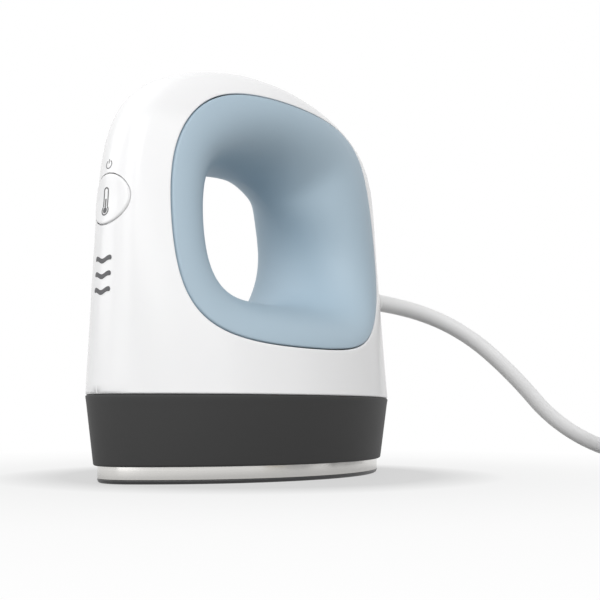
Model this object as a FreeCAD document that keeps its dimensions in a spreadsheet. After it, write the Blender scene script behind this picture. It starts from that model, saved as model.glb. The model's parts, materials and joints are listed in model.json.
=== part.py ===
"""Mini handheld heat press, as a parametric FreeCAD document.

Frame: millimetres, +Z up, origin on the work surface under the middle of the heat plate.
The nose with the button points to -X and the lead leaves the rear at +X.
"""

import FreeCAD
import Part
import math
import os

Vector = FreeCAD.Vector
doc = FreeCAD.newDocument("mini_heat_press")

# ---------------------------------------------------------------- driving sizes
SIZES = {
    # heat plate and its non-stick sole
    "plate_length": 82.6,
    "plate_width": 48.8,
    "plate_tip_radius": 8.0,
    "sole_thickness": 0.8,
    "sole_bevel": 0.45,
    "plate_flange": 3.1,
    "plate_thickness": 5.2,
    "plate_step": 1.5,
    # heating element
    "element_diameter": 5.0,
    "element_leg_spacing": 22.0,
    "element_bend_x": -14.0,
    "element_rise_x": 21.0,
    "element_rise_radius": 6.0,
    "element_terminal_z": 13.5,
    # insulation over the element
    "boss_height": 4.3,
    "pad_thickness": 1.8,
    "pad_margin": 2.6,
    "shield_thickness": 0.7,
    # temperature sensing on the plate
    "probe_diameter": 3.0,
    "probe_length": 9.0,
    "probe_screw_x": 1.0,
    "fuse_diameter": 3.2,
    "fuse_screw_x": -17.5,
    "clip_thickness": 0.6,
    "clip_width": 6.4,
    # grey skirt
    "skirt_lift": 3.4,
    "skirt_height": 14.2,
    "skirt_wall": 2.0,
    "skirt_flare_bottom": 0.85,
    "skirt_flare_top": 2.8,
    "plate_clearance": 0.35,
    "deck_thickness": 2.0,
    "plate_screw_x": "=plate_length / 2 - 6.1",
    "plate_screw_y": "=plate_width / 2 - 6.2",
    "plate_screw_diameter": 3.0,
    "post_radius": 3.5,
    # white shell
    "body_height": 92.2,
    "shell_wall": 2.0,
    "crown_x": -2.3,
    "crown_tip_radius": 6.6,
    "nose_lean": 1.8,
    "nose_rise": 7.9,
    "nose_round": 2.03,
    "rear_rise": 10.2,
    "rear_round": 1.73,
    "side_rise": 0.91,
    "side_round": 3.29,
    # hooks that hold the shell on the skirt's deck
    "hook_side_y": 22.8,
    "hook_tip_x": 40.2,
    "hook_thickness": 1.4,
    "hook_barb": 1.0,
    "hook_rise": 8.3,
    "catch_height": 1.5,
    # finger opening and its two liner halves
    "opening_x": -3.0,
    "opening_z": 57.0,
    "opening_lintel": 7.1,
    "opening_sill": 10.0,
    "rim_rear": 34.1,
    "rim_rear_top": 50.0,
    "rim_top": "=body_height - opening_lintel - opening_z",
    "rim_nose_top": 32.9,
    "rim_nose": 31.6,
    "rim_nose_bottom": 38.5,
    "rim_bottom": "=opening_z - opening_sill - skirt_lift - skirt_height",
    "rim_rear_bottom": 32.8,
    "throat_rear": 15.9,
    "throat_rear_top": 11.4,
    "throat_top": 11.5,
    "throat_nose_top": 21.2,
    "throat_nose": 20.4,
    "throat_nose_bottom": 28.2,
    "throat_bottom": 17.9,
    "throat_rear_bottom": 34.0,
    "rim_sharpness": 8.0,
    "throat_sharpness": 5.0,
    "ceiling_slope": 0.4,
    "ceiling_turn": 85,
    "liner_wall": 1.8,
    "liner_gap": 0.25,
    "liner_boss_radius": 2.4,
    "liner_boss_length": 4.0,
    "liner_pin_diameter": 1.8,
    "liner_pin_cap": 0.4,
    # button, tact switch and indicator windows
    "button_z": 57.3,
    "button_diameter": 10.6,
    "button_clearance": 0.22,
    "button_stands_out": 0.45,
    "switch_depth": 2.8,
    "switch_side": 6.0,
    "plunger_diameter": 3.2,
    "plunger_clearance": 0.15,
    "standby_z": 64.6,
    "standby_diameter": 2.4,
    "level_low_z": 38.3,
    "level_pitch": 3.2,
    "wave_width": 5.0,
    "wave_length": 3.9,
    "wave_swing": 0.45,
    "wave_thickness": 0.95,
    # display board
    "display_x": -35.4,
    "display_thickness": 1.2,
    "display_width": 10.4,
    "display_bottom": 32.5,
    "display_top": 72.0,
    "display_screw_low": 34.6,
    "display_screw_high": 69.4,
    "display_post_radius": 1.7,
    # main board
    "board_length": 48.0,
    "board_width": 28.0,
    "board_thickness": 1.6,
    "board_lift": 4.0,
    "board_screw_nose_x": "=3 - board_length / 2",
    "board_screw_rear_x": "=board_length / 2 - 10.5",
    "board_screw_y": "=board_width / 2 - 2.5",
    "board_screw_diameter": 2.0,
    "board_post_radius": 2.3,
    "relay_length": 18.0,
    "relay_width": 10.0,
    "relay_height": 10.5,
    "transformer_length": 12.5,
    "transformer_width": 12.0,
    "transformer_height": 9.5,
    "terminal_length": 8.0,
    "terminal_width": 11.0,
    "terminal_height": 8.0,
    # lead entry
    "cord_diameter": 4.6,
    "cord_exit_x": 50.0,
    "cord_exit_z": 44.5,
    "relief_shank_radius": 3.0,
    "relief_flange_radius": 4.2,
    "relief_neck_radius": 3.4,
    "relief_length": 21.0,
    "clamp_length": 4.5,
    "clamp_width": 13.2,
    "clamp_screw_y": 4.6,
    "lead_diameter": 1.8,
    "sensor_lead_diameter": 1.0,
    # coil of spare lead and its plug
    "coil_radius": 24.8,
    "coil_half_span": 5.9,
    "coil_layers": 4.0,
    "plug_length": 30.0,
    "plug_width": 25.0,
    "plug_thickness": 12.0,
    "blade_spacing": 12.7,
    "blade_length": 17.5,
    "blade_width": 6.35,
    "blade_thickness": 1.5,
}

sheet = doc.addObject("Spreadsheet::Sheet", "sizes")
for row, (alias, number) in enumerate(SIZES.items(), start=1):
    sheet.set(f"A{row}", alias)
    sheet.set(f"B{row}", str(number))
    sheet.setAlias(f"B{row}", alias)
doc.recompute()


def size(alias):
    """The number that the sheet holds under this alias."""
    return float(sheet.get(alias))


# ---------------------------------------------------------------- shared levels
FIT = 0.05
SOLE_TOP = "sizes.sole_thickness"
PLATE_TOP = "(sizes.sole_thickness + sizes.plate_thickness)"
BOSS_TOP = f"({PLATE_TOP} + sizes.boss_height)"
PAD_TOP = f"({BOSS_TOP} + sizes.pad_thickness)"
SHIELD_TOP = f"({PAD_TOP} + sizes.shield_thickness)"
DECK_TOP = "(sizes.skirt_lift + sizes.skirt_height)"
DECK_BOTTOM = f"({DECK_TOP} - sizes.deck_thickness)"
BOARD_BOTTOM = f"({DECK_TOP} + sizes.board_lift)"
BOARD_TOP = f"({BOARD_BOTTOM} + sizes.board_thickness)"

sole_top = size("sole_thickness")
plate_top = sole_top + size("plate_thickness")
boss_top = plate_top + size("boss_height")
pad_top = boss_top + size("pad_thickness")
deck_top = size("skirt_lift") + size("skirt_height")
deck_bottom = deck_top - size("deck_thickness")
board_bottom = deck_top + size("board_lift")
board_top = board_bottom + size("board_thickness")
cord_radius = size("cord_diameter") / 2
element_radius = size("element_diameter") / 2

NODES = []


# ---------------------------------------------------------------- helpers
def bind(thing, **expressions):
    """Ties properties to the sheet; x, y and z are the place of the object."""
    for name, expression in expressions.items():
        path = f"Placement.Base.{name}" if name in ("x", "y", "z") else name
        thing.setExpression(path, str(expression))
    return thing


def box(name, length, width, height, x, y, z):
    """A block whose low corner is at x, y, z."""
    block = doc.addObject("Part::Box", name)
    return bind(block, Length=length, Width=width, Height=height, x=x, y=y, z=z)


AXIS_TURNS = {
    "x": FreeCAD.Rotation(Vector(0, 1, 0), 90),
    "y": FreeCAD.Rotation(Vector(1, 0, 0), -90),
    "z": FreeCAD.Rotation(),
}


def cylinder(name, radius, height, x, y, z, along="z"):
    """A cylinder that starts at x, y, z and runs in the positive direction of an axis."""
    rod = doc.addObject("Part::Cylinder", name)
    rod.Placement = FreeCAD.Placement(Vector(), AXIS_TURNS[along])
    return bind(rod, Radius=radius, Height=height, x=x, y=y, z=z)


def cut(name, base, *tools):
    """base less every tool."""
    tool = tools[0] if len(tools) == 1 else fuse(name + "_tools", *tools)
    result = doc.addObject("Part::Cut", name)
    result.Base = base
    result.Tool = tool
    return result


def fuse(name, *shapes):
    """All the shapes as one object."""
    result = doc.addObject("Part::MultiFuse", name)
    result.Shapes = list(shapes)
    return result


def common(name, first, second):
    """What two shapes share."""
    result = doc.addObject("Part::Common", name)
    result.Base = first
    result.Tool = second
    return result


def feature(name, shape):
    """A solid that Part's own functions made."""
    result = doc.addObject("Part::Feature", name)
    result.Shape = shape
    return result


def group(name, *shapes):
    """Separate solids of one node, such as a set of screws."""
    result = doc.addObject("Part::Compound", name)
    result.Links = list(shapes)
    return result


def node(thing, label):
    """Marks an object as a finished piece with its own file."""
    thing.Label = label
    NODES.append(thing)
    return thing


def screw(name, diameter, head_diameter, head_height, length, x, y, z, along="z"):
    """Pan-head screw: the head starts at x, y, z and the shank runs the other way."""
    shank_at = {"x": x, "y": y, "z": z}
    shank_at[along] = f"({shank_at[along]} - ({length}))"
    head = cylinder(name + "_head", f"({head_diameter}) / 2", head_height, x, y, z, along)
    shank = cylinder(name + "_shank", f"({diameter}) / 2", length, *shank_at.values(), along)
    return fuse(name, head, shank)


def oval(nose, rear, half_width, tip_radius, z):
    """Pointed oval of four tangent arcs from x = nose to x = rear."""
    half_length = (rear - nose) / 2
    middle = (rear + nose) / 2
    tip = min(tip_radius, 0.9 * half_width)
    reach = half_length - tip
    side_radius = (reach ** 2 + half_width ** 2 - tip ** 2) / (2 * (half_width - tip))
    centre_offset = side_radius - half_width
    turn = math.atan2(reach, centre_offset)
    corner_x = side_radius * math.sin(turn)
    corner_y = side_radius * math.cos(turn) - centre_offset

    def point(x, y):
        return Vector(middle + x, y, z)

    arcs = [
        Part.Arc(point(-corner_x, -corner_y), point(0, -half_width), point(corner_x, -corner_y)),
        Part.Arc(point(corner_x, -corner_y), point(half_length, 0), point(corner_x, corner_y)),
        Part.Arc(point(corner_x, corner_y), point(0, half_width), point(-corner_x, corner_y)),
        Part.Arc(point(-corner_x, corner_y), point(-half_length, 0), point(-corner_x, -corner_y)),
    ]
    return Part.Wire([arc.toShape() for arc in arcs])


def plate_oval(offset, z):
    """The heat plate's outline, grown by an offset."""
    half_length = size("plate_length") / 2 + offset
    half_width = size("plate_width") / 2 + offset
    return oval(-half_length, half_length, half_width, size("plate_tip_radius") + offset, z)


def prism(wire, height):
    """A flat outline pushed up by a height."""
    return Part.Face(wire).extrude(Vector(0, 0, height))


def rounded_path(points, radii):
    """Straight runs joined by tangent arcs, one radius for each inner point."""
    edges = []
    start = points[0]
    for before, corner, after, radius in zip(points, points[1:], points[2:], radii):
        arriving = (corner - before).normalize()
        leaving = (after - corner).normalize()
        turn = arriving.getAngle(leaving)
        setback = radius * math.tan(turn / 2)
        first = corner - arriving * setback
        last = corner + leaving * setback
        bisector = (leaving - arriving).normalize()
        middle = corner + bisector * (radius / math.cos(turn / 2) - radius)
        edges.append(Part.LineSegment(start, first).toShape())
        edges.append(Part.Arc(first, middle, last).toShape())
        start = last
    edges.append(Part.LineSegment(start, points[-1]).toShape())
    return Part.Wire(edges)


def tube(path, radius):
    """A round rod along a path."""
    edge = path.Edges[0]
    direction = edge.tangentAt(edge.FirstParameter)
    circle = Part.Wire([Part.makeCircle(radius, edge.valueAt(edge.FirstParameter), direction)])
    return path.makePipeShell([circle], True, False)


# ---------------------------------------------------------------- shape of the white shell
def shell_section(height_share, inset):
    """Nose x, rear x, half width, tip radius and z of the shell at a share of its height."""
    base_nose = size("plate_length") / 2 + size("skirt_flare_top") - inset
    base_side = size("plate_width") / 2 + size("skirt_flare_top") - inset
    base_tip = size("plate_tip_radius") + size("skirt_flare_top") - inset
    crown = size("crown_x")

    def reach(rise, roundness):
        return (1 - height_share ** rise) ** (1 / roundness)

    nose = crown - (base_nose + crown) * reach(size("nose_rise"), size("nose_round"))
    nose += size("nose_lean") * height_share
    rear = crown + (base_nose - crown) * reach(size("rear_rise"), size("rear_round"))
    half_width = base_side * reach(size("side_rise"), size("side_round"))
    tip = base_tip + (size("crown_tip_radius") - inset - base_tip) * height_share
    z = deck_top + (size("body_height") - inset - deck_top) * height_share
    return nose, rear, half_width, tip, z


def shell_share(z):
    """The share of the shell's height at z."""
    return min(0.999, max(0.0, (z - deck_top) / (size("body_height") - deck_top)))


def shell_half_width(x, z):
    """Half the shell's width at a place in the side view, or zero outside it."""
    nose, rear, half_width, tip_radius, _ = shell_section(shell_share(z), 0.0)
    half_length = (rear - nose) / 2
    across = abs(x - (rear + nose) / 2)
    if across >= half_length:
        return 0.0
    tip = min(tip_radius, 0.9 * half_width)
    reach = half_length - tip
    side_radius = (reach ** 2 + half_width ** 2 - tip ** 2) / (2 * (half_width - tip))
    centre_offset = side_radius - half_width
    if across < side_radius * math.sin(math.atan2(reach, centre_offset)):
        return math.sqrt(side_radius ** 2 - across ** 2) - centre_offset
    return math.sqrt(tip ** 2 - (across - reach) ** 2)


def nose_x(z):
    """Where the shell's nose line lies at a height."""
    return shell_section(shell_share(z), 0.0)[0]


SECTION_SHARES = (0.0, 0.12, 0.26, 0.4, 0.54, 0.67, 0.78, 0.86, 0.92, 0.96, 0.985, 0.997)


def shell_solid(inset):
    """The closed form of the shell, moved in by an inset all round."""
    wires = [oval(*shell_section(share, inset)) for share in SECTION_SHARES]
    return Part.makeLoft(wires, True, False)


outer_form = shell_solid(0.0)
inner_form = shell_solid(size("shell_wall"))


# ---------------------------------------------------------------- finger opening
SIDES = ("rear", "rear_top", "top", "nose_top", "nose", "nose_bottom", "bottom", "rear_bottom")


def opening_radius(kind, angle):
    """Distance from the opening's middle to its rim or throat, in the side view."""
    sharpness = size(f"{kind}_sharpness")
    total = 0.0
    for number, side in enumerate(SIDES):
        facing = math.cos(angle - number * math.pi / 4)
        total += (max(0.0, facing) / size(f"{kind}_{side}")) ** sharpness
    return total ** (-1 / sharpness)


def opening_point(angle, radius, y):
    """A point of the opening, from its middle."""
    x = size("opening_x") + radius * math.cos(angle)
    z = size("opening_z") + radius * math.sin(angle)
    return Vector(x, y, z)


def wall_power(angle):
    """How full the wall's curve is: two is an ellipse, and the ceiling is nearer to a straight slope."""
    facing = math.cos(angle - math.radians(size("ceiling_turn")))
    return 2 - size("ceiling_slope") * max(0.0, facing) ** 2


def saddle_point(angle, share, depth):
    """A point of the liner, from the throat (share 0) to the rim (share 1), under its skin."""
    rim = opening_radius("rim", angle)
    throat = opening_radius("throat", angle)
    turn = share * math.pi / 2
    power = 2 / wall_power(angle)
    place = opening_point(angle, rim - (rim - throat - depth) * math.cos(turn) ** power, 0)
    place.y = (shell_half_width(place.x, place.z) - depth) * math.sin(turn) ** power
    return place


def liner_section(angle):
    """The wall of the left liner half, cut by a plane through the opening's middle line."""
    shares = [step / 6 for step in range(7)]
    skin = [saddle_point(angle, share, 0.0) for share in shares]
    back = [saddle_point(angle, share, size("liner_wall")) for share in shares]
    skin_curve = Part.BSplineCurve()
    skin_curve.interpolate(skin)
    back_curve = Part.BSplineCurve()
    back_curve.interpolate(back[::-1])
    edges = [
        skin_curve.toShape(),
        Part.LineSegment(skin[-1], back[-1]).toShape(),
        back_curve.toShape(),
        Part.LineSegment(back[0], skin[0]).toShape(),
    ]
    return Part.Wire(edges)


LINER_SECTIONS = 36


def liner_solid():
    """The left half of the liner, a ring of wall sections round the opening."""
    turns = [2 * math.pi * step / LINER_SECTIONS for step in range(LINER_SECTIONS)]
    return Part.makeLoft([liner_section(turn) for turn in turns], True, False, True)


OUTLINE_POINTS = 72


def opening_prism(kind, offset):
    """A bar along Y with the outline of the opening, wider than the whole press."""
    reach = size("plate_width")
    points = []
    for step in range(OUTLINE_POINTS):
        turn = 2 * math.pi * step / OUTLINE_POINTS
        points.append(opening_point(turn, opening_radius(kind, turn) + offset, -reach))
    outline = Part.BSplineCurve()
    outline.interpolate(points, PeriodicFlag=True)
    return Part.Face(Part.Wire([outline.toShape()])).extrude(Vector(0, 2 * reach, 0))


# ---------------------------------------------------------------- heat plate
def element_path(levels):
    """The element's centre line: a U on the plate, with both ends turned up if levels says so."""
    half = size("element_leg_spacing") / 2
    rise = size("element_rise_x")
    bend = size("element_bend_x")
    z = plate_top
    nose_end = Part.Arc(Vector(bend, half, z), Vector(bend - half, 0, z), Vector(bend, -half, z))
    if not levels:
        end = rise + element_radius + 1
        runs = [
            Part.LineSegment(Vector(end, half, z), Vector(bend, half, z)),
            nose_end,
            Part.LineSegment(Vector(bend, -half, z), Vector(end, -half, z)),
        ]
        return Part.Wire([run.toShape() for run in runs])
    radius = size("element_rise_radius")
    knee = rise - radius
    lift = radius * (1 - math.sqrt(0.5))
    out = radius * math.sqrt(0.5)
    top = size("element_terminal_z")
    edges = []
    edges.append(Part.LineSegment(Vector(rise, half, top), Vector(rise, half, z + radius)).toShape())
    edges.append(
        Part.Arc(
            Vector(rise, half, z + radius), Vector(knee + out, half, z + lift), Vector(knee, half, z)
        ).toShape()
    )
    edges.append(Part.LineSegment(Vector(knee, half, z), Vector(bend, half, z)).toShape())
    edges.append(nose_end.toShape())
    edges.append(Part.LineSegment(Vector(bend, -half, z), Vector(knee, -half, z)).toShape())
    edges.append(
        Part.Arc(
            Vector(knee, -half, z), Vector(knee + out, -half, z + lift), Vector(rise, -half, z + radius)
        ).toShape()
    )
    edges.append(Part.LineSegment(Vector(rise, -half, z + radius), Vector(rise, -half, top)).toShape())
    return Part.Wire(edges)


# the sole is a thin layer with a bevelled lower edge
bevel = size("sole_bevel")
bevel_loft = Part.makeLoft([plate_oval(-bevel, 0), plate_oval(0, bevel)], True, True)
sole_shape = bevel_loft.fuse(prism(plate_oval(0, bevel), sole_top - bevel)).removeSplitter()
node(feature("SoleCoating", sole_shape), "sole_coating")

flange = feature("PlateFlange", prism(plate_oval(0, sole_top), size("plate_flange")))
upper_height = size("plate_thickness") - size("plate_flange")
upper = feature(
    "PlateUpper",
    prism(plate_oval(-size("plate_step"), sole_top + size("plate_flange")), upper_height),
)
PLATE_SCREW_PLACES = {
    "nose": ("-sizes.plate_screw_x", "0"),
    "rear": ("sizes.plate_screw_x", "0"),
    "left": ("0", "sizes.plate_screw_y"),
    "right": ("0", "-sizes.plate_screw_y"),
}
SCREW_REACH = "(sizes.plate_screw_diameter * 2)"
BOSS_EMBED = 1
plate_bosses = [
    cylinder(
        f"PlateBoss_{side}", "sizes.post_radius", f"sizes.boss_height + {BOSS_EMBED}",
        x, y, f"{PLATE_TOP} - {BOSS_EMBED}",
    )
    for side, (x, y) in PLATE_SCREW_PLACES.items()
]
tapped_holes = [
    cylinder(
        f"PlateTap_{side}", f"sizes.plate_screw_diameter / 2 + {FIT}",
        f"{SCREW_REACH} + 1", x, y, f"{BOSS_TOP} - {SCREW_REACH} - 0.5",
    )
    for side, (x, y) in PLATE_SCREW_PLACES.items()
]
SENSOR_SCREW_DIAMETER = 2
SENSOR_SCREW_DEPTH = 3.5
sensor_taps = [
    cylinder(
        f"SensorTap_{owner}", SENSOR_SCREW_DIAMETER / 2 + FIT, SENSOR_SCREW_DEPTH + 1,
        f"sizes.{owner}_screw_x", 0, f"{PLATE_TOP} - {SENSOR_SCREW_DEPTH} - 0.2",
    )
    for owner in ("probe", "fuse")
]
channel_clearance = 0.15
channel = feature("ElementChannel", tube(element_path(False), element_radius + channel_clearance))
plate_blank = fuse("PlateBlank", flange, upper, *plate_bosses)
node(
    cut("HeatPlate", plate_blank, channel, *tapped_holes, *sensor_taps),
    "heat_plate",
)

node(feature("HeatingElement", tube(element_path(True), element_radius)), "heating_element")


def sensor_set(owner, diameter, length, label, clip_label):
    """A round sensor lying on the plate and the sheet clip that holds it there."""
    start = f"sizes.{owner}_screw_x + 4"
    centre = f"{PLATE_TOP} + {diameter} / 2 + {FIT}"
    sensor = cylinder(owner.title(), f"{diameter} / 2", length, start, 0, centre, "x")
    node(sensor, label)
    top = f"{PLATE_TOP} + {diameter} + 2 * {FIT}"
    tab = box(
        clip_label + "_tab", "6", "sizes.clip_width", "sizes.clip_thickness",
        f"sizes.{owner}_screw_x - 3", "-sizes.clip_width / 2", PLATE_TOP,
    )
    riser = box(
        clip_label + "_riser", "sizes.clip_thickness", "sizes.clip_width",
        f"{diameter} + 2 * {FIT} + sizes.clip_thickness",
        f"sizes.{owner}_screw_x + 3", "-sizes.clip_width / 2", PLATE_TOP,
    )
    strap = box(
        clip_label + "_strap", "7", "sizes.clip_width", "sizes.clip_thickness",
        f"sizes.{owner}_screw_x + 3", "-sizes.clip_width / 2", top,
    )
    hole = cylinder(
        clip_label + "_hole", SENSOR_SCREW_DIAMETER / 2 + FIT, 4,
        f"sizes.{owner}_screw_x", 0, f"{PLATE_TOP} - 1",
    )
    node(cut(clip_label.title(), fuse(clip_label + "_sheet", tab, riser, strap), hole), clip_label)


sensor_set("probe", "sizes.probe_diameter", "sizes.probe_length", "temperature_probe", "probe_clip")
sensor_set("fuse", "sizes.fuse_diameter", "sizes.probe_length", "thermal_fuse", "fuse_clip")
node(
    group(
        "SensorScrews",
        *[
            screw(
                f"SensorScrew_{owner}", SENSOR_SCREW_DIAMETER, 3.6, 1.3, SENSOR_SCREW_DEPTH,
                f"sizes.{owner}_screw_x", 0, f"({PLATE_TOP} + sizes.clip_thickness)",
            )
            for owner in ("probe", "fuse")
        ],
    ),
    "sensor_screws",
)

# ---------------------------------------------------------------- insulation and shield
WIRE_HOLE_X = "(sizes.element_rise_x - 1.5)"
WINDOW_MARGIN = 0.7


def board_with_windows(name, offset, bottom, thickness, label):
    """A flat oval sheet with screw holes, windows for the element's ends and a wire hole."""
    blank = feature(name + "_blank", prism(plate_oval(offset, size_at(bottom)), size(thickness)))
    tools = []
    for side, (x, y) in PLATE_SCREW_PLACES.items():
        tools.append(
            cylinder(
                f"{name}_hole_{side}", "sizes.plate_screw_diameter / 2 + 0.2",
                f"sizes.{thickness} + 2", x, y, f"{bottom} - 1",
            )
        )
    window = f"(sizes.element_diameter + 2 * {WINDOW_MARGIN})"
    for side, sign in (("left", 1), ("right", -1)):
        tools.append(
            box(
                f"{name}_window_{side}", window, window, f"sizes.{thickness} + 2",
                f"sizes.element_rise_x - {window} / 2",
                f"{sign} * sizes.element_leg_spacing / 2 - {window} / 2",
                f"{bottom} - 1",
            )
        )
    tools.append(
        cylinder(name + "_wire_hole", 1.8, f"sizes.{thickness} + 2", WIRE_HOLE_X, 0, f"{bottom} - 1")
    )
    node(cut(name, blank, *tools), label)


def size_at(level):
    """The number behind one of the shared levels."""
    return {BOSS_TOP: boss_top, PAD_TOP: pad_top}[level]


board_with_windows("InsulationPad", -size("pad_margin"), BOSS_TOP, "pad_thickness", "insulation_pad")
board_with_windows("HeatShield", -size("pad_margin"), PAD_TOP, "shield_thickness", "heat_shield")

# ---------------------------------------------------------------- grey skirt with its deck
flare_bottom = size("skirt_flare_bottom")
flare_top = size("skirt_flare_top")
skirt_lift = size("skirt_lift")
lip_top = sole_top + size("plate_flange") + 0.3
skirt_outside = Part.makeLoft(
    [plate_oval(flare_bottom, skirt_lift), plate_oval(flare_top, deck_top)], True, True
)
skirt_inside = Part.makeLoft(
    [
        plate_oval(flare_bottom - size("skirt_wall"), lip_top),
        plate_oval(flare_top - size("skirt_wall"), deck_bottom),
    ],
    True,
    True,
)
skirt_lip = prism(plate_oval(size("plate_clearance"), skirt_lift - 1), lip_top - skirt_lift + 1)
skirt_cup = feature("SkirtCup", skirt_outside.cut(skirt_inside).cut(skirt_lip))
deck_posts = [
    cylinder(
        f"DeckPost_{side}", "sizes.post_radius", f"{DECK_BOTTOM} - {SHIELD_TOP} + 0.5", x, y, SHIELD_TOP
    )
    for side, (x, y) in PLATE_SCREW_PLACES.items()
]
BOARD_SCREW_PLACES = {
    "nose_left": ("sizes.board_screw_nose_x", "sizes.board_screw_y"),
    "nose_right": ("sizes.board_screw_nose_x", "-sizes.board_screw_y"),
    "rear_left": ("sizes.board_screw_rear_x", "sizes.board_screw_y"),
    "rear_right": ("sizes.board_screw_rear_x", "-sizes.board_screw_y"),
}
board_posts = [
    cylinder(
        f"BoardPost_{side}", "sizes.board_post_radius", "sizes.board_lift + 0.5", x, y, f"{DECK_TOP} - 0.5"
    )
    for side, (x, y) in BOARD_SCREW_PLACES.items()
]

# each hook: the way it faces, where its outer face is, and its width
HOOKS = {
    "left": ("y", 1, "sizes.hook_side_y", 10),
    "right": ("y", -1, "sizes.hook_side_y", 10),
    "nose": ("x", -1, "sizes.hook_tip_x", 5),
    "rear": ("x", 1, "sizes.hook_tip_x", 5),
}
CATCH_TOP = "(sizes.skirt_lift + sizes.skirt_height + sizes.hook_rise - sizes.catch_height)"


def facing_block(name, side, start, depth, bottom, height):
    """A block behind a hook's face: start is how far out it begins, depth how far it goes on."""
    axis, sign, _, width = HOOKS[side]
    out = start if sign > 0 else f"-({start}) - ({depth})"
    if axis == "x":
        return box(name, depth, width, height, out, -width / 2, bottom)
    return box(name, width, depth, height, -width / 2, out, bottom)


hook_parts = []
for side, (_, _, face, _) in HOOKS.items():
    hook_parts.append(
        facing_block(
            f"HookArm_{side}", side, f"{face} - sizes.hook_thickness", "sizes.hook_thickness",
            f"{DECK_TOP} - 0.5", "sizes.hook_rise + 0.5",
        )
    )
    hook_parts.append(
        facing_block(
            f"HookBarb_{side}", side, f"{face} - 0.2", "sizes.hook_barb + 0.2",
            f"{CATCH_TOP} + {FIT}", f"sizes.catch_height - {FIT}",
        )
    )
deck_tools = []
for side, (x, y) in PLATE_SCREW_PLACES.items():
    deck_tools.append(
        cylinder(
            f"DeckHole_{side}", "sizes.plate_screw_diameter / 2 + 0.2",
            f"{DECK_TOP} - {SHIELD_TOP} + 2", x, y, f"{SHIELD_TOP} - 1",
        )
    )
for side, (x, y) in BOARD_SCREW_PLACES.items():
    deck_tools.append(
        cylinder(
            f"BoardTap_{side}", f"sizes.board_screw_diameter / 2 + {FIT}", "sizes.board_lift + 1",
            x, y, f"{DECK_TOP}",
        )
    )
DECK_WINDOW_LENGTH = 7.5
deck_tools.append(
    box(
        "DeckWindow", DECK_WINDOW_LENGTH, "sizes.element_leg_spacing + 5", "sizes.deck_thickness + 2",
        f"sizes.element_rise_x - {DECK_WINDOW_LENGTH} / 2", "-sizes.element_leg_spacing / 2 - 2.5",
        f"{DECK_BOTTOM} - 1",
    )
)
skirt_blank = fuse("SkirtBlank", skirt_cup, *deck_posts, *board_posts, *hook_parts)
node(cut("BaseSkirt", skirt_blank, *deck_tools), "base_skirt")

node(
    group(
        "PlateScrews",
        *[
            screw(
                f"PlateScrew_{side}", "sizes.plate_screw_diameter", "sizes.plate_screw_diameter * 1.8", 2,
                f"{DECK_TOP} - {BOSS_TOP} + {SCREW_REACH}", x, y, DECK_TOP,
            )
            for side, (x, y) in PLATE_SCREW_PLACES.items()
        ],
    ),
    "plate_screws",
)

# ---------------------------------------------------------------- white shell
OUTER = feature("OuterForm", outer_form)
INNER = feature("InnerForm", inner_form)
catches = [
    facing_block(
        f"Catch_{side}", side, f"{face} + 0.2", "6", f"{CATCH_TOP} - sizes.catch_height", "sizes.catch_height"
    )
    for side, (_, _, face, _) in HOOKS.items()
]
DISPLAY_POST_LENGTH = 9
DISPLAY_SCREW_PLACES = {"low": "sizes.display_screw_low", "high": "sizes.display_screw_high"}
display_posts = [
    cylinder(
        f"DisplayPost_{side}", "sizes.display_post_radius", DISPLAY_POST_LENGTH,
        f"sizes.display_x - {DISPLAY_POST_LENGTH}", 0, z, "x",
    )
    for side, z in DISPLAY_SCREW_PLACES.items()
]
DISPLAY_SCREW_DIAMETER = 1.6
DISPLAY_SCREW_LENGTH = 5
display_taps = [
    cylinder(
        f"DisplayTap_{side}", DISPLAY_SCREW_DIAMETER / 2 + FIT, DISPLAY_SCREW_LENGTH,
        f"sizes.display_x - {DISPLAY_SCREW_LENGTH} + 0.5", 0, z, "x",
    )
    for side, z in DISPLAY_SCREW_PLACES.items()
]

# the web behind the rear wall that carries the lead's strain relief
relief_start = "(sizes.cord_exit_x - sizes.relief_length)"
CLAMP_X = f"({relief_start} + 2)"
CLAMP_SCREW_DIAMETER = 2
WEB_HEIGHT = 4
WEB_TOP = "(sizes.cord_exit_z - sizes.relief_shank_radius)"
web = box(
    "CordWeb", "sizes.clamp_length + 1", "sizes.plate_width", WEB_HEIGHT,
    f"{CLAMP_X} - 0.5", "-sizes.plate_width / 2", f"{WEB_TOP} - {WEB_HEIGHT}",
)
fittings = common("ShellFittings", fuse("FittingBlanks", *catches, *display_posts, web), OUTER)

button_x = nose_x(size("button_z")) - size("button_stands_out")
button_radius = size("button_diameter") / 2
rear_x = shell_section(shell_share(size("cord_exit_z")), 0.0)[1]
shell_tools = [feature("OpeningCut", opening_prism("rim", size("liner_gap")))]
shell_tools.append(
    cylinder(
        "ButtonHole", "sizes.button_diameter / 2 + sizes.button_clearance", 8,
        button_x - 1, 0, "sizes.button_z", "x",
    )
)
shell_tools.append(
    cylinder(
        "ReliefHole", "sizes.relief_neck_radius + 0.2", 8, rear_x - 5, 0, "sizes.cord_exit_z", "x"
    )
)


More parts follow.
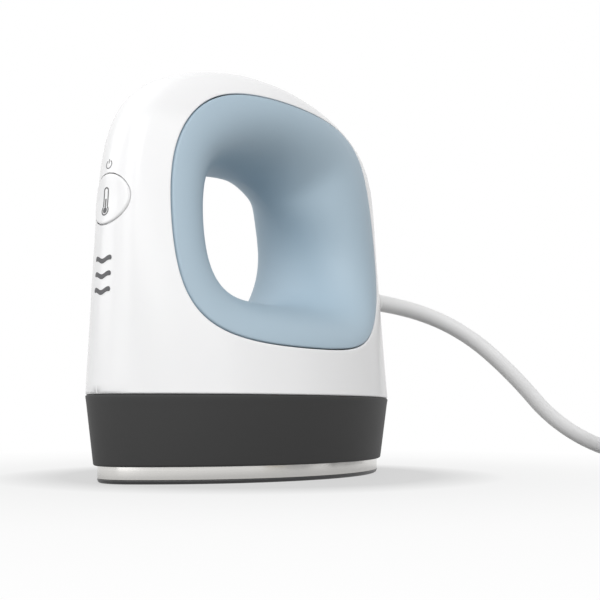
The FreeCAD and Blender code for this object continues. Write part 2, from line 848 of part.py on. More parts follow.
def wave_prism(level):
    """A bar along X whose outline is one wave-shaped window."""
    half = size("wave_width") / 2
    thick = size("wave_thickness") / 2
    upper_edge = []
    lower_edge = []
    for step in range(-6, 7):
        y = half * step / 6
        swing = size("wave_swing") * math.cos(2 * math.pi * y / size("wave_length"))
        upper_edge.append(Vector(nose_x(level) - 3, y, level - swing + thick))
        lower_edge.append(Vector(nose_x(level) - 3, y, level - swing - thick))
    top = Part.BSplineCurve()
    top.interpolate(upper_edge)
    bottom = Part.BSplineCurve()
    bottom.interpolate(lower_edge[::-1])
    outline = Part.Wire(
        [
            top.toShape(),
            Part.LineSegment(upper_edge[-1], lower_edge[-1]).toShape(),
            bottom.toShape(),
            Part.LineSegment(lower_edge[0], upper_edge[0]).toShape(),
        ]
    )
    return Part.Face(outline).extrude(Vector(9, 0, 0))


LEVELS = {"low": 0, "medium": 1, "high": 2}
for name, number in LEVELS.items():
    level = size("level_low_z") + number * size("level_pitch")
    lens_bar = feature(f"WaveBar_{name}", wave_prism(level))
    shell_tools.append(lens_bar)
    node(common(f"LevelLens_{name}", lens_bar, OUTER), f"level_lens_{name}")

standby_bar = cylinder(
    "StandbyBar", "sizes.standby_diameter / 2", 6, nose_x(size("standby_z")) - 1, 0, "sizes.standby_z", "x"
)
shell_tools.append(standby_bar)
node(common("StandbyLens", standby_bar, OUTER), "standby_lens")

shell_wall = cut("ShellWall", OUTER, INNER)
shell_blank = fuse("ShellBlank", shell_wall, fittings)
shell_open = cut("ShellOpen", shell_blank, *shell_tools)
CLAMP_SCREW_PLACES = {"left": "sizes.clamp_screw_y", "right": "-sizes.clamp_screw_y"}
web_taps = [
    cylinder(
        f"WebTap_{side}", CLAMP_SCREW_DIAMETER / 2 + FIT, WEB_HEIGHT,
        f"{CLAMP_X} + sizes.clamp_length / 2", y, f"{WEB_TOP} - {WEB_HEIGHT} + 0.8",
    )
    for side, y in CLAMP_SCREW_PLACES.items()
]
node(cut("OuterShell", shell_open, *display_taps, *web_taps), "outer_shell")

# ---------------------------------------------------------------- liner halves
LINER_BOSS_TURNS = {"rear_top": 1, "nose_top": 3, "nose_bottom": 5, "rear_bottom": 7}
LINER_BOSS_SHIFT = 0.12
LINER_BOSS_SINK = 0.6
boss_back = size("liner_wall") + size("liner_boss_radius") - LINER_BOSS_SINK
liner_boss_places = {}
for corner, eighths in LINER_BOSS_TURNS.items():
    angle = (eighths + LINER_BOSS_SHIFT) * math.pi / 4
    liner_boss_places[corner] = opening_point(angle, opening_radius("throat", angle) + boss_back, 0)

left_ring = liner_solid()
right_ring = left_ring.mirror(Vector(), Vector(0, 1, 0))
for label, side, ring_shape in (("handle_liner_left", 1, left_ring), ("handle_liner_right", -1, right_ring)):
    ring = feature(label + "_ring", ring_shape)
    low = "0" if side > 0 else "-sizes.liner_boss_length"
    hole_low = "-1" if side > 0 else "(sizes.liner_pin_cap - sizes.liner_boss_length)"
    sleeves = []
    for corner, place in liner_boss_places.items():
        boss = cylinder(
            f"{label}_boss_{corner}", "sizes.liner_boss_radius", "sizes.liner_boss_length",
            place.x, low, place.z, "y",
        )
        hole = cylinder(
            f"{label}_hole_{corner}", f"sizes.liner_pin_diameter / 2 + {FIT}",
            "sizes.liner_boss_length - sizes.liner_pin_cap + 1", place.x, hole_low, place.z, "y",
        )
        sleeves.append(cut(f"{label}_sleeve_{corner}", boss, hole))
    piece = node(fuse(label + "_piece", ring, *sleeves), label)
    piece.Refine = False

PIN_REACH = f"(sizes.liner_boss_length - sizes.liner_pin_cap - {FIT})"
node(
    group(
        "LinerPins",
        *[
            cylinder(
                f"LinerPin_{corner}", "sizes.liner_pin_diameter / 2", f"2 * {PIN_REACH}",
                place.x, f"-{PIN_REACH}", place.z, "y",
            )
            for corner, place in liner_boss_places.items()
        ],
    ),
    "liner_pins",
)

# ---------------------------------------------------------------- power button and its switch
BUTTON_BACK = -39.3
PLUNGER_TIP = -38.9
TOUCH_GAP = 0.05
button_form = outer_form.copy()
button_form.translate(Vector(-size("button_stands_out"), 0, 0))
button_bar = cylinder(
    "ButtonBar", "sizes.button_diameter / 2", f"{BUTTON_BACK} - ({button_x}) + 3",
    button_x - 3, 0, "sizes.button_z", "x",
)
button_cap = common("ButtonCap", button_bar, feature("ButtonForm", button_form))
stem = cylinder(
    "ButtonStem", 1.3, f"{PLUNGER_TIP} - {TOUCH_GAP} - ({BUTTON_BACK}) + 0.5",
    f"{BUTTON_BACK} - 0.5", 0, "sizes.button_z", "x",
)
EAR_LENGTH = 0.8
EAR_WIDTH = 2.4
ears = box(
    "ButtonEars", EAR_LENGTH, EAR_WIDTH, "sizes.button_diameter + 1.4",
    f"{BUTTON_BACK} - 0.2 - {EAR_LENGTH}", -EAR_WIDTH / 2, "sizes.button_z - sizes.button_diameter / 2 - 0.7",
)
node(fuse("PowerButton", button_cap, stem, ears), "power_button")
PLUNGER_LENGTH = 2.4
node(
    cylinder(
        "SwitchPlunger", "sizes.plunger_diameter / 2", PLUNGER_LENGTH, PLUNGER_TIP, 0, "sizes.button_z", "x"
    ),
    "switch_plunger",
)
switch_block = box(
    "SwitchBlock", "sizes.switch_depth", "sizes.switch_side", "sizes.switch_side",
    "sizes.display_x - sizes.switch_depth", "-sizes.switch_side / 2",
    "sizes.button_z - sizes.switch_side / 2",
)
switch_bore = cylinder(
    "SwitchBore", "sizes.plunger_diameter / 2 + sizes.plunger_clearance", "sizes.switch_depth + 0.6",
    "sizes.display_x - sizes.switch_depth - 1", 0, "sizes.button_z", "x",
)
node(cut("PowerSwitch", switch_block, switch_bore), "power_switch")

# ---------------------------------------------------------------- display board behind the nose
LED_DEPTH = 0.8
LED_WIDTH = 1.6
led_levels = {
    "low": "sizes.level_low_z",
    "medium": "sizes.level_low_z + sizes.level_pitch",
    "high": "sizes.level_low_z + 2 * sizes.level_pitch",
    "standby": "sizes.standby_z",
}
leds = [
    box(
        f"Led_{name}", LED_DEPTH, LED_WIDTH, LED_WIDTH,
        f"sizes.display_x - {LED_DEPTH}", -LED_WIDTH / 2, f"{z} - {LED_WIDTH} / 2",
    )
    for name, z in led_levels.items()
]
node(group("IndicatorLeds", *leds), "indicator_leds")
display_panel = box(
    "DisplayPanel", "sizes.display_thickness", "sizes.display_width",
    "sizes.display_top - sizes.display_bottom",
    "sizes.display_x", "-sizes.display_width / 2", "sizes.display_bottom",
)
display_holes = [
    cylinder(
        f"DisplayHole_{side}", DISPLAY_SCREW_DIAMETER / 2 + 0.1, 4, "sizes.display_x - 1", 0, z, "x"
    )
    for side, z in DISPLAY_SCREW_PLACES.items()
]
node(cut("UiBoard", display_panel, *display_holes), "ui_board")
node(
    group(
        "UiBoardScrews",
        *[
            screw(
                f"UiScrew_{side}", DISPLAY_SCREW_DIAMETER, 2.8, 1,
                f"sizes.display_thickness + {DISPLAY_SCREW_LENGTH} - 1",
                "(sizes.display_x + sizes.display_thickness)", 0, z, "x",
            )
            for side, z in DISPLAY_SCREW_PLACES.items()
        ],
    ),
    "ui_board_screws",
)
RIBBON = 0.5
RIBBON_WIDTH = 8
RIBBON_END = -22.6
RIBBON_X = "(sizes.display_x + 0.3)"
drop = box(
    "RibbonDrop", RIBBON, RIBBON_WIDTH, f"sizes.display_bottom - {BOARD_TOP}",
    RIBBON_X, -RIBBON_WIDTH / 2, BOARD_TOP,
)
run = box(
    "RibbonRun", f"{RIBBON_END} - {RIBBON_X}", RIBBON_WIDTH, RIBBON, RIBBON_X, -RIBBON_WIDTH / 2, BOARD_TOP
)
node(fuse("RibbonCable", drop, run), "ribbon_cable")

# ---------------------------------------------------------------- main board
board_panel = box(
    "BoardPanel", "sizes.board_length", "sizes.board_width", "sizes.board_thickness",
    "-sizes.board_length / 2", "-sizes.board_width / 2", BOARD_BOTTOM,
)
board_holes = [
    cylinder(f"BoardHole_{side}", "sizes.board_screw_diameter / 2 + 0.1", 4, x, y, f"{BOARD_BOTTOM} - 1")
    for side, (x, y) in BOARD_SCREW_PLACES.items()
]
node(cut("MainBoard", board_panel, *board_holes), "main_board")
node(
    group(
        "MainBoardScrews",
        *[
            screw(
                f"BoardScrew_{side}", "sizes.board_screw_diameter", "sizes.board_screw_diameter * 1.8", 1.4,
                "sizes.board_thickness + sizes.board_lift - 0.5", x, y, BOARD_TOP,
            )
            for side, (x, y) in BOARD_SCREW_PLACES.items()
        ],
    ),
    "main_board_screws",
)


def on_board(label, length, width, height, x, y):
    """A block-shaped component with its low corner at x, y on the main board."""
    return node(box(label.title(), length, width, height, x, y, BOARD_TOP), label)


on_board(
    "terminal_block", "sizes.terminal_length", "sizes.terminal_width", "sizes.terminal_height",
    "sizes.board_length / 2 - sizes.terminal_length - 0.5", "-sizes.terminal_width / 2",
)
on_board(
    "relay", "sizes.relay_length", "sizes.relay_width", "sizes.relay_height", -5, "-sizes.relay_width / 2"
)
on_board(
    "supply_transformer", "sizes.transformer_length", "sizes.transformer_width", "sizes.transformer_height",
    -17.5, "-sizes.transformer_width - 1",
)
on_board("safety_capacitor", 13, 6, 9, -6, "sizes.board_width / 2 - 7")
on_board("controller_chip", 6, 5, 1, -3, "2.5 - sizes.board_width / 2")
node(
    cylinder("SmoothingCapacitor", 3.5, 9, "5.1 - sizes.board_length / 2", 3, BOARD_TOP), "smoothing_capacitor"
)
node(cylinder("Buzzer", 3.6, 4.5, 7.6, "4.4 - sizes.board_width / 2", BOARD_TOP), "buzzer")
node(
    cylinder(
        "BoardFuse", 1.6, 9, "7 - sizes.board_length / 2", "sizes.board_width / 2 - 4.5",
        f"{BOARD_TOP} + 1.6", "x",
    ),
    "board_fuse",
)

# ---------------------------------------------------------------- internal wiring
lead_radius = size("lead_diameter") / 2
sensor_lead_radius = size("sensor_lead_diameter") / 2
rise_x = size("element_rise_x")
heater_leads = [
    cylinder(
        f"HeaterLead_{side}", "sizes.lead_diameter / 2", f"{BOARD_BOTTOM} - sizes.element_terminal_z",
        "sizes.element_rise_x", f"{sign} * sizes.element_leg_spacing / 2", "sizes.element_terminal_z",
    )
    for side, sign in (("left", 1), ("right", -1))
]
node(group("HeaterLeads", *heater_leads), "heater_leads")

wire_x = rise_x - 1.5
wire_y = 1.1
probe_level = plate_top + size("probe_diameter") / 2 + FIT
fuse_level = plate_top + size("fuse_diameter") / 2 + FIT
probe_end = size("probe_screw_x") + 4 + size("probe_length")
fuse_end = size("fuse_screw_x") + 4 + size("probe_length")
fuse_turn = fuse_end + 1.25
fuse_side = 5.0
probe_route = [
    Vector(probe_end, 0, probe_level),
    Vector(wire_x, 0, probe_level),
    Vector(wire_x, 0, board_bottom),
]
fuse_route = [
    Vector(fuse_end, 0, fuse_level),
    Vector(fuse_turn, 0, fuse_level),
    Vector(fuse_turn, fuse_side, fuse_level),
    Vector(wire_x, fuse_side, fuse_level),
    Vector(wire_x, wire_y, fuse_level),
    Vector(wire_x, wire_y, board_bottom),
]
node(
    group(
        "SensorLeads",
        feature("ProbeLead", tube(rounded_path(probe_route, [2]), sensor_lead_radius)),
        feature("FuseLead", tube(rounded_path(fuse_route, [0.8, 1.5, 1.5, 1.2]), sensor_lead_radius)),
    ),
    "sensor_leads",
)

exit_x = size("cord_exit_x")
exit_z = size("cord_exit_z")
relief_x = exit_x - size("relief_length")
terminal_x = size("board_length") / 2 - 0.5 - size("terminal_length") / 2
terminal_top = board_top + size("terminal_height")


def mains_route(sign):
    """From the strain relief down to the terminal block."""
    return [
        Vector(relief_x, sign * 1.3, exit_z),
        Vector(relief_x - 5.5, sign * 1.3, exit_z),
        Vector(terminal_x + 0.5, sign * 2.5, exit_z - 5.5),
        Vector(terminal_x + 0.5, sign * 2.5, terminal_top),
    ]


node(
    group(
        "MainsLeads",
        *[
            feature(f"MainsLead_{side}", tube(rounded_path(mains_route(sign), [1.6, 2.5]), lead_radius))
            for side, sign in (("left", 1), ("right", -1))
        ],
    ),
    "mains_leads",
)

# ---------------------------------------------------------------- strain relief and clamp
FLANGE_X = 38.2
FLANGE_THICKNESS = 2.1
NECK_END = 44.2
shank = cylinder(
    "ReliefShank", "sizes.relief_shank_radius", f"{FLANGE_X} - {relief_start}",
    relief_start, 0, "sizes.cord_exit_z", "x",
)
flange_ring = cylinder(
    "ReliefFlange", "sizes.relief_flange_radius", FLANGE_THICKNESS, FLANGE_X, 0, "sizes.cord_exit_z", "x"
)
neck = cylinder(
    "ReliefNeck", "sizes.relief_neck_radius", f"{NECK_END} - {FLANGE_X}",
    FLANGE_X, 0, "sizes.cord_exit_z", "x",
)
taper = doc.addObject("Part::Cone", "ReliefTaper")
taper.Placement = FreeCAD.Placement(Vector(), AXIS_TURNS["x"])
bind(
    taper, Radius1="sizes.relief_neck_radius", Radius2="sizes.cord_diameter / 2 + 0.45",
    Height=f"sizes.cord_exit_x - {NECK_END}", x=NECK_END, y=0, z="sizes.cord_exit_z",
)
node(fuse("StrainRelief", shank, flange_ring, neck, taper), "strain_relief")

CLAMP_HEIGHT = 8
clamp_block = box(
    "ClampBlock", "sizes.clamp_length", "sizes.clamp_width", CLAMP_HEIGHT,
    CLAMP_X, "-sizes.clamp_width / 2", WEB_TOP,
)
clamp_channel = cylinder(
    "ClampChannel", f"sizes.relief_shank_radius + {FIT}", 10, f"{CLAMP_X} - 2", 0, "sizes.cord_exit_z", "x"
)
clamp_opening = box(
    "ClampOpening", 10, f"2 * (sizes.relief_shank_radius + {FIT})", "sizes.relief_shank_radius + 1",
    f"{CLAMP_X} - 2", f"-sizes.relief_shank_radius - {FIT}", f"{WEB_TOP} - 1",
)
clamp_holes = [
    cylinder(
        f"ClampHole_{side}", CLAMP_SCREW_DIAMETER / 2 + 0.1, CLAMP_HEIGHT + 2,
        f"{CLAMP_X} + sizes.clamp_length / 2", y, f"{WEB_TOP} - 1",
    )
    for side, y in CLAMP_SCREW_PLACES.items()
]
node(cut("CordClamp", clamp_block, clamp_channel, clamp_opening, *clamp_holes), "cord_clamp")
node(
    group(
        "CordClampScrews",
        *[
            screw(
                f"ClampScrew_{side}", CLAMP_SCREW_DIAMETER, 3.6, 1.3, CLAMP_HEIGHT + 3,
                f"{CLAMP_X} + sizes.clamp_length / 2", y, f"({WEB_TOP} + {CLAMP_HEIGHT})",
            )
            for side, y in CLAMP_SCREW_PLACES.items()
        ],
    ),
    "cord_clamp_screws",
)

# ---------------------------------------------------------------- mains lead, coil and plug
floor_z = cord_radius
CORD_ROUTE = [
    Vector(exit_x, 0, exit_z),
    Vector(68, 0, exit_z),
    Vector(86, -7.5, 38),
    Vector(99, -16, 25.5),
    Vector(110, -23, 11.5),
    Vector(124, -34.5, floor_z),
    Vector(131, -49, floor_z),
    Vector(133.4, -64.5, floor_z),
    Vector(132.6, -80.5, floor_z),
]
coil_inner = size("coil_radius") - size("coil_half_span")
coil_outer = size("coil_radius") + size("coil_half_span")
coil_height = size("coil_layers") * size("cord_diameter")
entry = CORD_ROUTE[-1]
heading = (entry - CORD_ROUTE[-2]).normalize()
coil_middle = entry + Vector(heading.y, -heading.x, 0) * coil_outer
TOP_TURN = floor_z + (size("coil_layers") - 1) * size("cord_diameter")
PLUG_Z = size("plug_thickness") / 2


def on_top_turn(degrees):
    """A point on the coil's last turn, its outermost one on top."""
    turn = math.radians(degrees)
    around = Vector(math.cos(turn), math.sin(turn), 0) * coil_outer
    return Vector(coil_middle.x, coil_middle.y, TOP_TURN) + around


def beside_coil(x, y, z):
    """A point whose x and y are counted from the coil's middle."""
    return Vector(coil_middle.x + x, coil_middle.y + y, z)


TAIL_ROUTE = [
    on_top_turn(-75),
    on_top_turn(-87),
    on_top_turn(-99),
    beside_coil(-14, -27.9, TOP_TURN),
    beside_coil(-27, -24, 11.9),
    beside_coil(-40.4, -21.9, PLUG_Z),
    beside_coil(-53, -21.9, PLUG_Z),
]


def corner_radii(route):
    """The largest tangent arcs that the route's runs allow."""
    radii = []
    for before, corner, after in zip(route, route[1:], route[2:]):
        turn = (corner - before).getAngle(after - corner)
        shorter = min((corner - before).Length, (after - corner).Length)
        radii.append(0.45 * shorter / math.tan(turn / 2))
    return radii


def lead_tube(name, route):
    """A plain tube of the lead along a route, with its radii and volume printed."""
    radii = corner_radii(route)
    path = rounded_path(route, radii)
    solid = tube(path, cord_radius)
    swept = math.pi * cord_radius ** 2 * path.Length
    print(name, "smallest radius", round(min(radii), 1), "length", round(path.Length, 1))
    print(name, "volume", round(solid.Volume, 1), "section times length", round(swept, 1))
    return node(feature(name, solid), name)


lead_tube("power_cord", CORD_ROUTE)
lead_tube("cord_tail", TAIL_ROUTE)

coil_disc = cylinder(
    "CoilDisc", "sizes.coil_radius + sizes.coil_half_span + sizes.cord_diameter / 2",
    "sizes.coil_layers * sizes.cord_diameter", coil_middle.x, coil_middle.y, 0,
)
coil_eye = cylinder(
    "CoilEye", "sizes.coil_radius - sizes.coil_half_span - sizes.cord_diameter / 2",
    "sizes.coil_layers * sizes.cord_diameter + 2", coil_middle.x, coil_middle.y, -1,
)
node(cut("CordCoil", coil_disc, coil_eye), "cord_coil")
TIE = 0.8
TIE_WIDTH = 9
tie_inner = "(sizes.coil_radius - sizes.coil_half_span - sizes.cord_diameter / 2)"
tie_span = "(2 * sizes.coil_half_span + sizes.cord_diameter)"
tie_height = "(sizes.coil_layers * sizes.cord_diameter)"
tie_outside = box(
    "TieOutside", f"{tie_span} + 2 * {TIE}", TIE_WIDTH, f"{tie_height} + {TIE}",
    f"{coil_middle.x} - {tie_inner} - {tie_span} - {TIE}", coil_middle.y - TIE_WIDTH / 2, 0,
)
tie_inside = box(
    "TieInside", tie_span, TIE_WIDTH + 2, f"{tie_height} - {TIE}",
    f"{coil_middle.x} - {tie_inner} - {tie_span}", coil_middle.y - TIE_WIDTH / 2 - 1, TIE,
)
node(cut("CordTie", tie_outside, tie_inside), "cord_tie")

PLUG_NECK = 10
plug_end = TAIL_ROUTE[-1]
plug_grip = box(
    "PlugGrip", "sizes.plug_length", "sizes.plug_width", "sizes.plug_thickness",
    f"{plug_end.x} - {PLUG_NECK} - sizes.plug_length", f"{plug_end.y} - sizes.plug_width / 2", 0,
)
plug_rounded = doc.addObject("Part::Fillet", "PlugRounded")
plug_rounded.Base = plug_grip
PLUG_ROUNDING = 3
plug_rounded.Edges = [(edge, PLUG_ROUNDING, PLUG_ROUNDING) for edge in range(1, 13)]
plug_neck = doc.addObject("Part::Cone", "PlugNeck")
plug_neck.Placement = FreeCAD.Placement(Vector(), AXIS_TURNS["x"])
bind(
    plug_neck, Radius1=4.6, Radius2="sizes.cord_diameter / 2 + 0.4", Height=PLUG_NECK + 1,
    x=plug_end.x - PLUG_NECK - 1, y=plug_end.y, z="sizes.plug_thickness / 2",
)
node(fuse("PlugBody", plug_rounded, plug_neck), "plug_body")
blades = [
    box(
        f"Blade_{side}", "sizes.blade_length", "sizes.blade_thickness", "sizes.blade_width",
        f"{plug_end.x} - {PLUG_NECK} - sizes.plug_length - sizes.blade_length",
        f"{plug_end.y} + {sign} * sizes.blade_spacing / 2 - sizes.blade_thickness / 2",
        "sizes.plug_thickness / 2 - sizes.blade_width / 2",
    )
    for side, sign in (("left", 1), ("right", -1))
]
node(group("PlugBlades", *blades), "plug_blades")

# ---------------------------------------------------------------- check and write
doc.recompute()
failed = [thing.Name for thing in doc.Objects if {"Invalid", "Error"} & set(thing.State)]
if failed:
    raise RuntimeError(f"failed objects: {failed}")
for piece in NODES:
    if piece.Shape.isNull() or not piece.Shape.isValid() or not piece.Shape.Solids:
        raise RuntimeError(f"bad shape: {piece.Label}")
os.makedirs("parts", exist_ok=True)
for piece in NODES:
    piece.Shape.exportStep(f"parts/{piece.Label}.step")
print(len(NODES), "pieces written")
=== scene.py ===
"""Mini handheld heat press: looks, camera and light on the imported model.

Lengths are written in millimetres and turned into metres where a mesh is made.
-X is the nose with the button, +X the side where the lead leaves.
"""
import json
import math

import bmesh
import bpy
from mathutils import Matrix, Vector
from mathutils.bvhtree import BVHTree

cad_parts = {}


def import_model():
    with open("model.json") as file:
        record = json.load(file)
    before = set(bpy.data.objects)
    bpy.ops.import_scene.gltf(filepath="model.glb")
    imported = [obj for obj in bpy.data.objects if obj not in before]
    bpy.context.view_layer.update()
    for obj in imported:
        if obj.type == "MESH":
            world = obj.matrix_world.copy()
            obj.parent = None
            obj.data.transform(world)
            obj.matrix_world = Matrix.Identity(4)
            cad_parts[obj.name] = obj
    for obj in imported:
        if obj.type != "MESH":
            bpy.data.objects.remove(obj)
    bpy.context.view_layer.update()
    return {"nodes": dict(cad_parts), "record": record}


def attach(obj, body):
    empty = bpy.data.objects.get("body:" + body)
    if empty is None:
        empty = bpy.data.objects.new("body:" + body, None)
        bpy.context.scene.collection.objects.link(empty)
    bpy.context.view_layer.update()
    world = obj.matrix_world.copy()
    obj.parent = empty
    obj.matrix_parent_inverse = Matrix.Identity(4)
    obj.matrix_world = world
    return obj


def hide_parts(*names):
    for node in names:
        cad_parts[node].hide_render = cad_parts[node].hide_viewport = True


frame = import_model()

MM = 0.001
BODY = "press"
scene = bpy.context.scene

# ---------------------------------------------------------------- driving sizes, as in the solids
PLATE_HALF_LENGTH = 41.3
PLATE_HALF_WIDTH = 24.4
PLATE_TIP = 8.0
SOLE_TOP = 0.8
SOLE_BEVEL = 0.45
SKIRT_BOTTOM = 3.4
SKIRT_FLARE_BOTTOM = 0.85
SKIRT_FLARE_TOP = 2.8
PLATE_CLEARANCE = 0.35
DECK_TOP = 17.6
BODY_TOP = 92.2
TOP_SHARE = 0.997
CROWN_X = -2.3
CROWN_TIP = 6.6
NOSE_LEAN = 1.8
NOSE_RISE = 7.9
NOSE_ROUND = 2.03
REAR_RISE = 10.2
REAR_ROUND = 1.73
SIDE_RISE = 0.91
SIDE_ROUND = 3.29
TIP_TO_HALF_WIDTH = 0.9
OPENING_X = -3.0
OPENING_Z = 57.0
LINER_GAP = 0.25
BUTTON_Z = 57.3
BUTTON_RADIUS = 5.3
BUTTON_GAP = 0.22
STANDBY_Z = 64.6
LEVEL_LOW_Z = 38.3
LEVEL_PITCH = 3.2
CORD_RADIUS = 2.3
CORD_EXIT_X = 50.0
CORD_EXIT_Z = 44.5

# ---------------------------------------------------------------- how finely the meshes are divided
OVAL_SIDE_STEPS = 60
OVAL_TIP_STEPS = 28
AROUND = 96
ROLL_STEPS = 5
TINY = 1e-7


# ---------------------------------------------------------------- pointed ovals
def oval_arcs(half_length, half_width, tip):
    """Side radius, its centre's offset, where the tip's centre is, and the angle where the arcs meet."""
    reach = half_length - tip
    side = (reach ** 2 + half_width ** 2 - tip ** 2) / (2 * (half_width - tip))
    offset = side - half_width
    return side, offset, reach, math.atan2(reach, offset)


def oval_ring(offset, z):
    """Points and outward normals round the plate's outline, grown by an offset, at height z."""
    half_length = PLATE_HALF_LENGTH + offset
    half_width = PLATE_HALF_WIDTH + offset
    tip = PLATE_TIP + offset
    side, drop, reach, turn = oval_arcs(half_length, half_width, tip)
    ring = []
    for flip in (1, -1):
        for step in range(OVAL_SIDE_STEPS):
            angle = turn - 2 * turn * step / OVAL_SIDE_STEPS
            x = side * math.sin(angle)
            y = side * math.cos(angle) - drop
            ring.append(Vector((flip * x, flip * y, z)))
        half_tip = math.pi / 2 - turn
        for step in range(OVAL_TIP_STEPS):
            angle = half_tip * (2 * step / OVAL_TIP_STEPS - 1)
            x = -reach - tip * math.cos(angle)
            y = -tip * math.sin(angle)
            ring.append(Vector((flip * x, flip * y, z)))
    return ring


# ---------------------------------------------------------------- meshes from rings
def skinned(rings, wrap=False):
    """A mesh with faces between closed rings of equal length, and from the last to the first if it wraps."""
    mesh = bmesh.new()
    loops = [[mesh.verts.new(point * MM) for point in ring] for ring in rings]
    count = len(loops[0])
    following = loops[1:] + loops[:1] if wrap else loops[1:]
    for low, high in zip(loops, following):
        for step in range(count):
            after = (step + 1) % count
            mesh.faces.new((low[step], low[after], high[after], high[step]))
    return mesh, loops


def finish_mesh(name, mesh, smooth=True):
    """Turns a bmesh into an object of the scene."""
    data = bpy.data.meshes.new(name)
    mesh.to_mesh(data)
    mesh.free()
    for face in data.polygons:
        face.use_smooth = smooth
    thing = bpy.data.objects.new(name, data)
    scene.collection.objects.link(thing)
    return thing


def lofted(name, rings, close_first=False, close_last=False, flip=False):
    """A smooth mesh through rings, its faces turned as the rings run, or the other way."""
    mesh, loops = skinned(rings)
    if close_first:
        mesh.faces.new(loops[0][::-1])
    if close_last:
        mesh.faces.new(loops[-1])
    if flip:
        bmesh.ops.reverse_faces(mesh, faces=mesh.faces)
    return finish_mesh(name, mesh)


def solid_loft(name, rings):
    """A smooth closed mesh through rings, with a flat face at each end and all its faces turned out."""
    mesh, loops = skinned(rings)
    mesh.faces.new(loops[0][::-1])
    mesh.faces.new(loops[-1])
    bmesh.ops.recalc_face_normals(mesh, faces=mesh.faces)
    return finish_mesh(name, mesh)


def solid_tube(name, rings, smooth=True):
    """A closed mesh whose rings run round its section and back to the first, with its faces turned out."""
    mesh, loops = skinned(rings, wrap=True)
    bmesh.ops.recalc_face_normals(mesh, faces=mesh.faces)
    return finish_mesh(name, mesh, smooth)


def dress(thing, material, slot, *nodes, body=BODY):
    """Gives a piece its material, puts it on its body and in place of CAD nodes; the slot is not used."""
    thing.data.materials.append(material)
    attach(thing, body)
    if nodes:
        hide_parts(*nodes)
    return thing


# ---------------------------------------------------------------- materials
CLOUD_SCALE = 60
CLOUD_GLOSS = 0.04
STREAK_SCALE = 400
STREAK_GLOSS = 0.08
STREAK_SHADES = (0.9, 1.05)
STREAK_STRENGTH = 0.25


def material(name, colour, roughness, metallic=0.0, **sockets):
    """A Principled material; the sockets are named as in Blender with underscores."""
    made = bpy.data.materials.new(name)
    made.use_nodes = True
    shader = made.node_tree.nodes["Principled BSDF"]
    shader.inputs["Base Color"].default_value = (*colour, 1)
    shader.inputs["Roughness"].default_value = roughness
    shader.inputs["Metallic"].default_value = metallic
    for socket, value in sockets.items():
        shader.inputs[socket.replace("_", " ")].default_value = value
    return made


def noise(made, scale, stretch=(1, 1, 1), detail=4.0):
    """Noise over the piece's own place in metres, stretched along the axes."""
    nodes = made.node_tree.nodes
    links = made.node_tree.links
    place = nodes.new("ShaderNodeTexCoord")
    mapping = nodes.new("ShaderNodeMapping")
    mapping.inputs["Scale"].default_value = stretch
    texture = nodes.new("ShaderNodeTexNoise")
    texture.inputs["Scale"].default_value = scale
    texture.inputs["Detail"].default_value = detail
    links.new(place.outputs["Object"], mapping.inputs["Vector"])
    links.new(mapping.outputs["Vector"], texture.inputs["Vector"])
    return texture


def vary_roughness(made, texture, low, high):
    """Roughness wanders between two values."""
    ramp = made.node_tree.nodes.new("ShaderNodeMapRange")
    ramp.inputs["To Min"].default_value = low
    ramp.inputs["To Max"].default_value = high
    made.node_tree.links.new(texture.outputs["Fac"], ramp.inputs["Value"])
    shader = made.node_tree.nodes["Principled BSDF"]
    made.node_tree.links.new(ramp.outputs["Result"], shader.inputs["Roughness"])


def vary_colour(made, texture, low, high):
    """Colour wanders between two colours."""
    mix = made.node_tree.nodes.new("ShaderNodeMix")
    mix.data_type = "RGBA"
    mix.inputs[6].default_value = (*low, 1)
    mix.inputs[7].default_value = (*high, 1)
    made.node_tree.links.new(texture.outputs["Fac"], mix.inputs[0])
    shader = made.node_tree.nodes["Principled BSDF"]
    made.node_tree.links.new(mix.outputs[2], shader.inputs["Base Color"])


def add_bump(made, texture, height, strength=0.3):
    """Fine relief, its height in millimetres."""
    bump = made.node_tree.nodes.new("ShaderNodeBump")
    bump.inputs["Strength"].default_value = strength
    bump.inputs["Distance"].default_value = height * MM
    made.node_tree.links.new(texture.outputs["Fac"], bump.inputs["Height"])
    shader = made.node_tree.nodes["Principled BSDF"]
    made.node_tree.links.new(bump.outputs["Normal"], shader.inputs["Normal"])


def scaled(colour, factor):
    """A colour made lighter or darker."""
    return tuple(channel * factor for channel in colour)


def plastic(name, colour, roughness, grain=2500, height=0.01, spread=0.02, strength=0.2):
    """Moulded plastic: fine grain, and slight wander of colour and gloss."""
    made = material(name, colour, roughness)
    grains = noise(made, grain)
    clouds = noise(made, CLOUD_SCALE, detail=2)
    vary_colour(made, clouds, scaled(colour, 1 - spread), scaled(colour, 1 + spread / 2))
    vary_roughness(made, clouds, roughness - CLOUD_GLOSS, roughness + CLOUD_GLOSS)
    add_bump(made, grains, height, strength)
    return made


def metal(name, colour, roughness, stretch, height=0.004):
    """Brushed or turned metal: long fine scratches along one way."""
    made = material(name, colour, roughness, metallic=1.0)
    streaks = noise(made, STREAK_SCALE, stretch, detail=6)
    vary_colour(made, streaks, *[scaled(colour, shade) for shade in STREAK_SHADES])
    vary_roughness(made, streaks, roughness - STREAK_GLOSS, roughness + STREAK_GLOSS)
    add_bump(made, streaks, height, STREAK_STRENGTH)
    return made


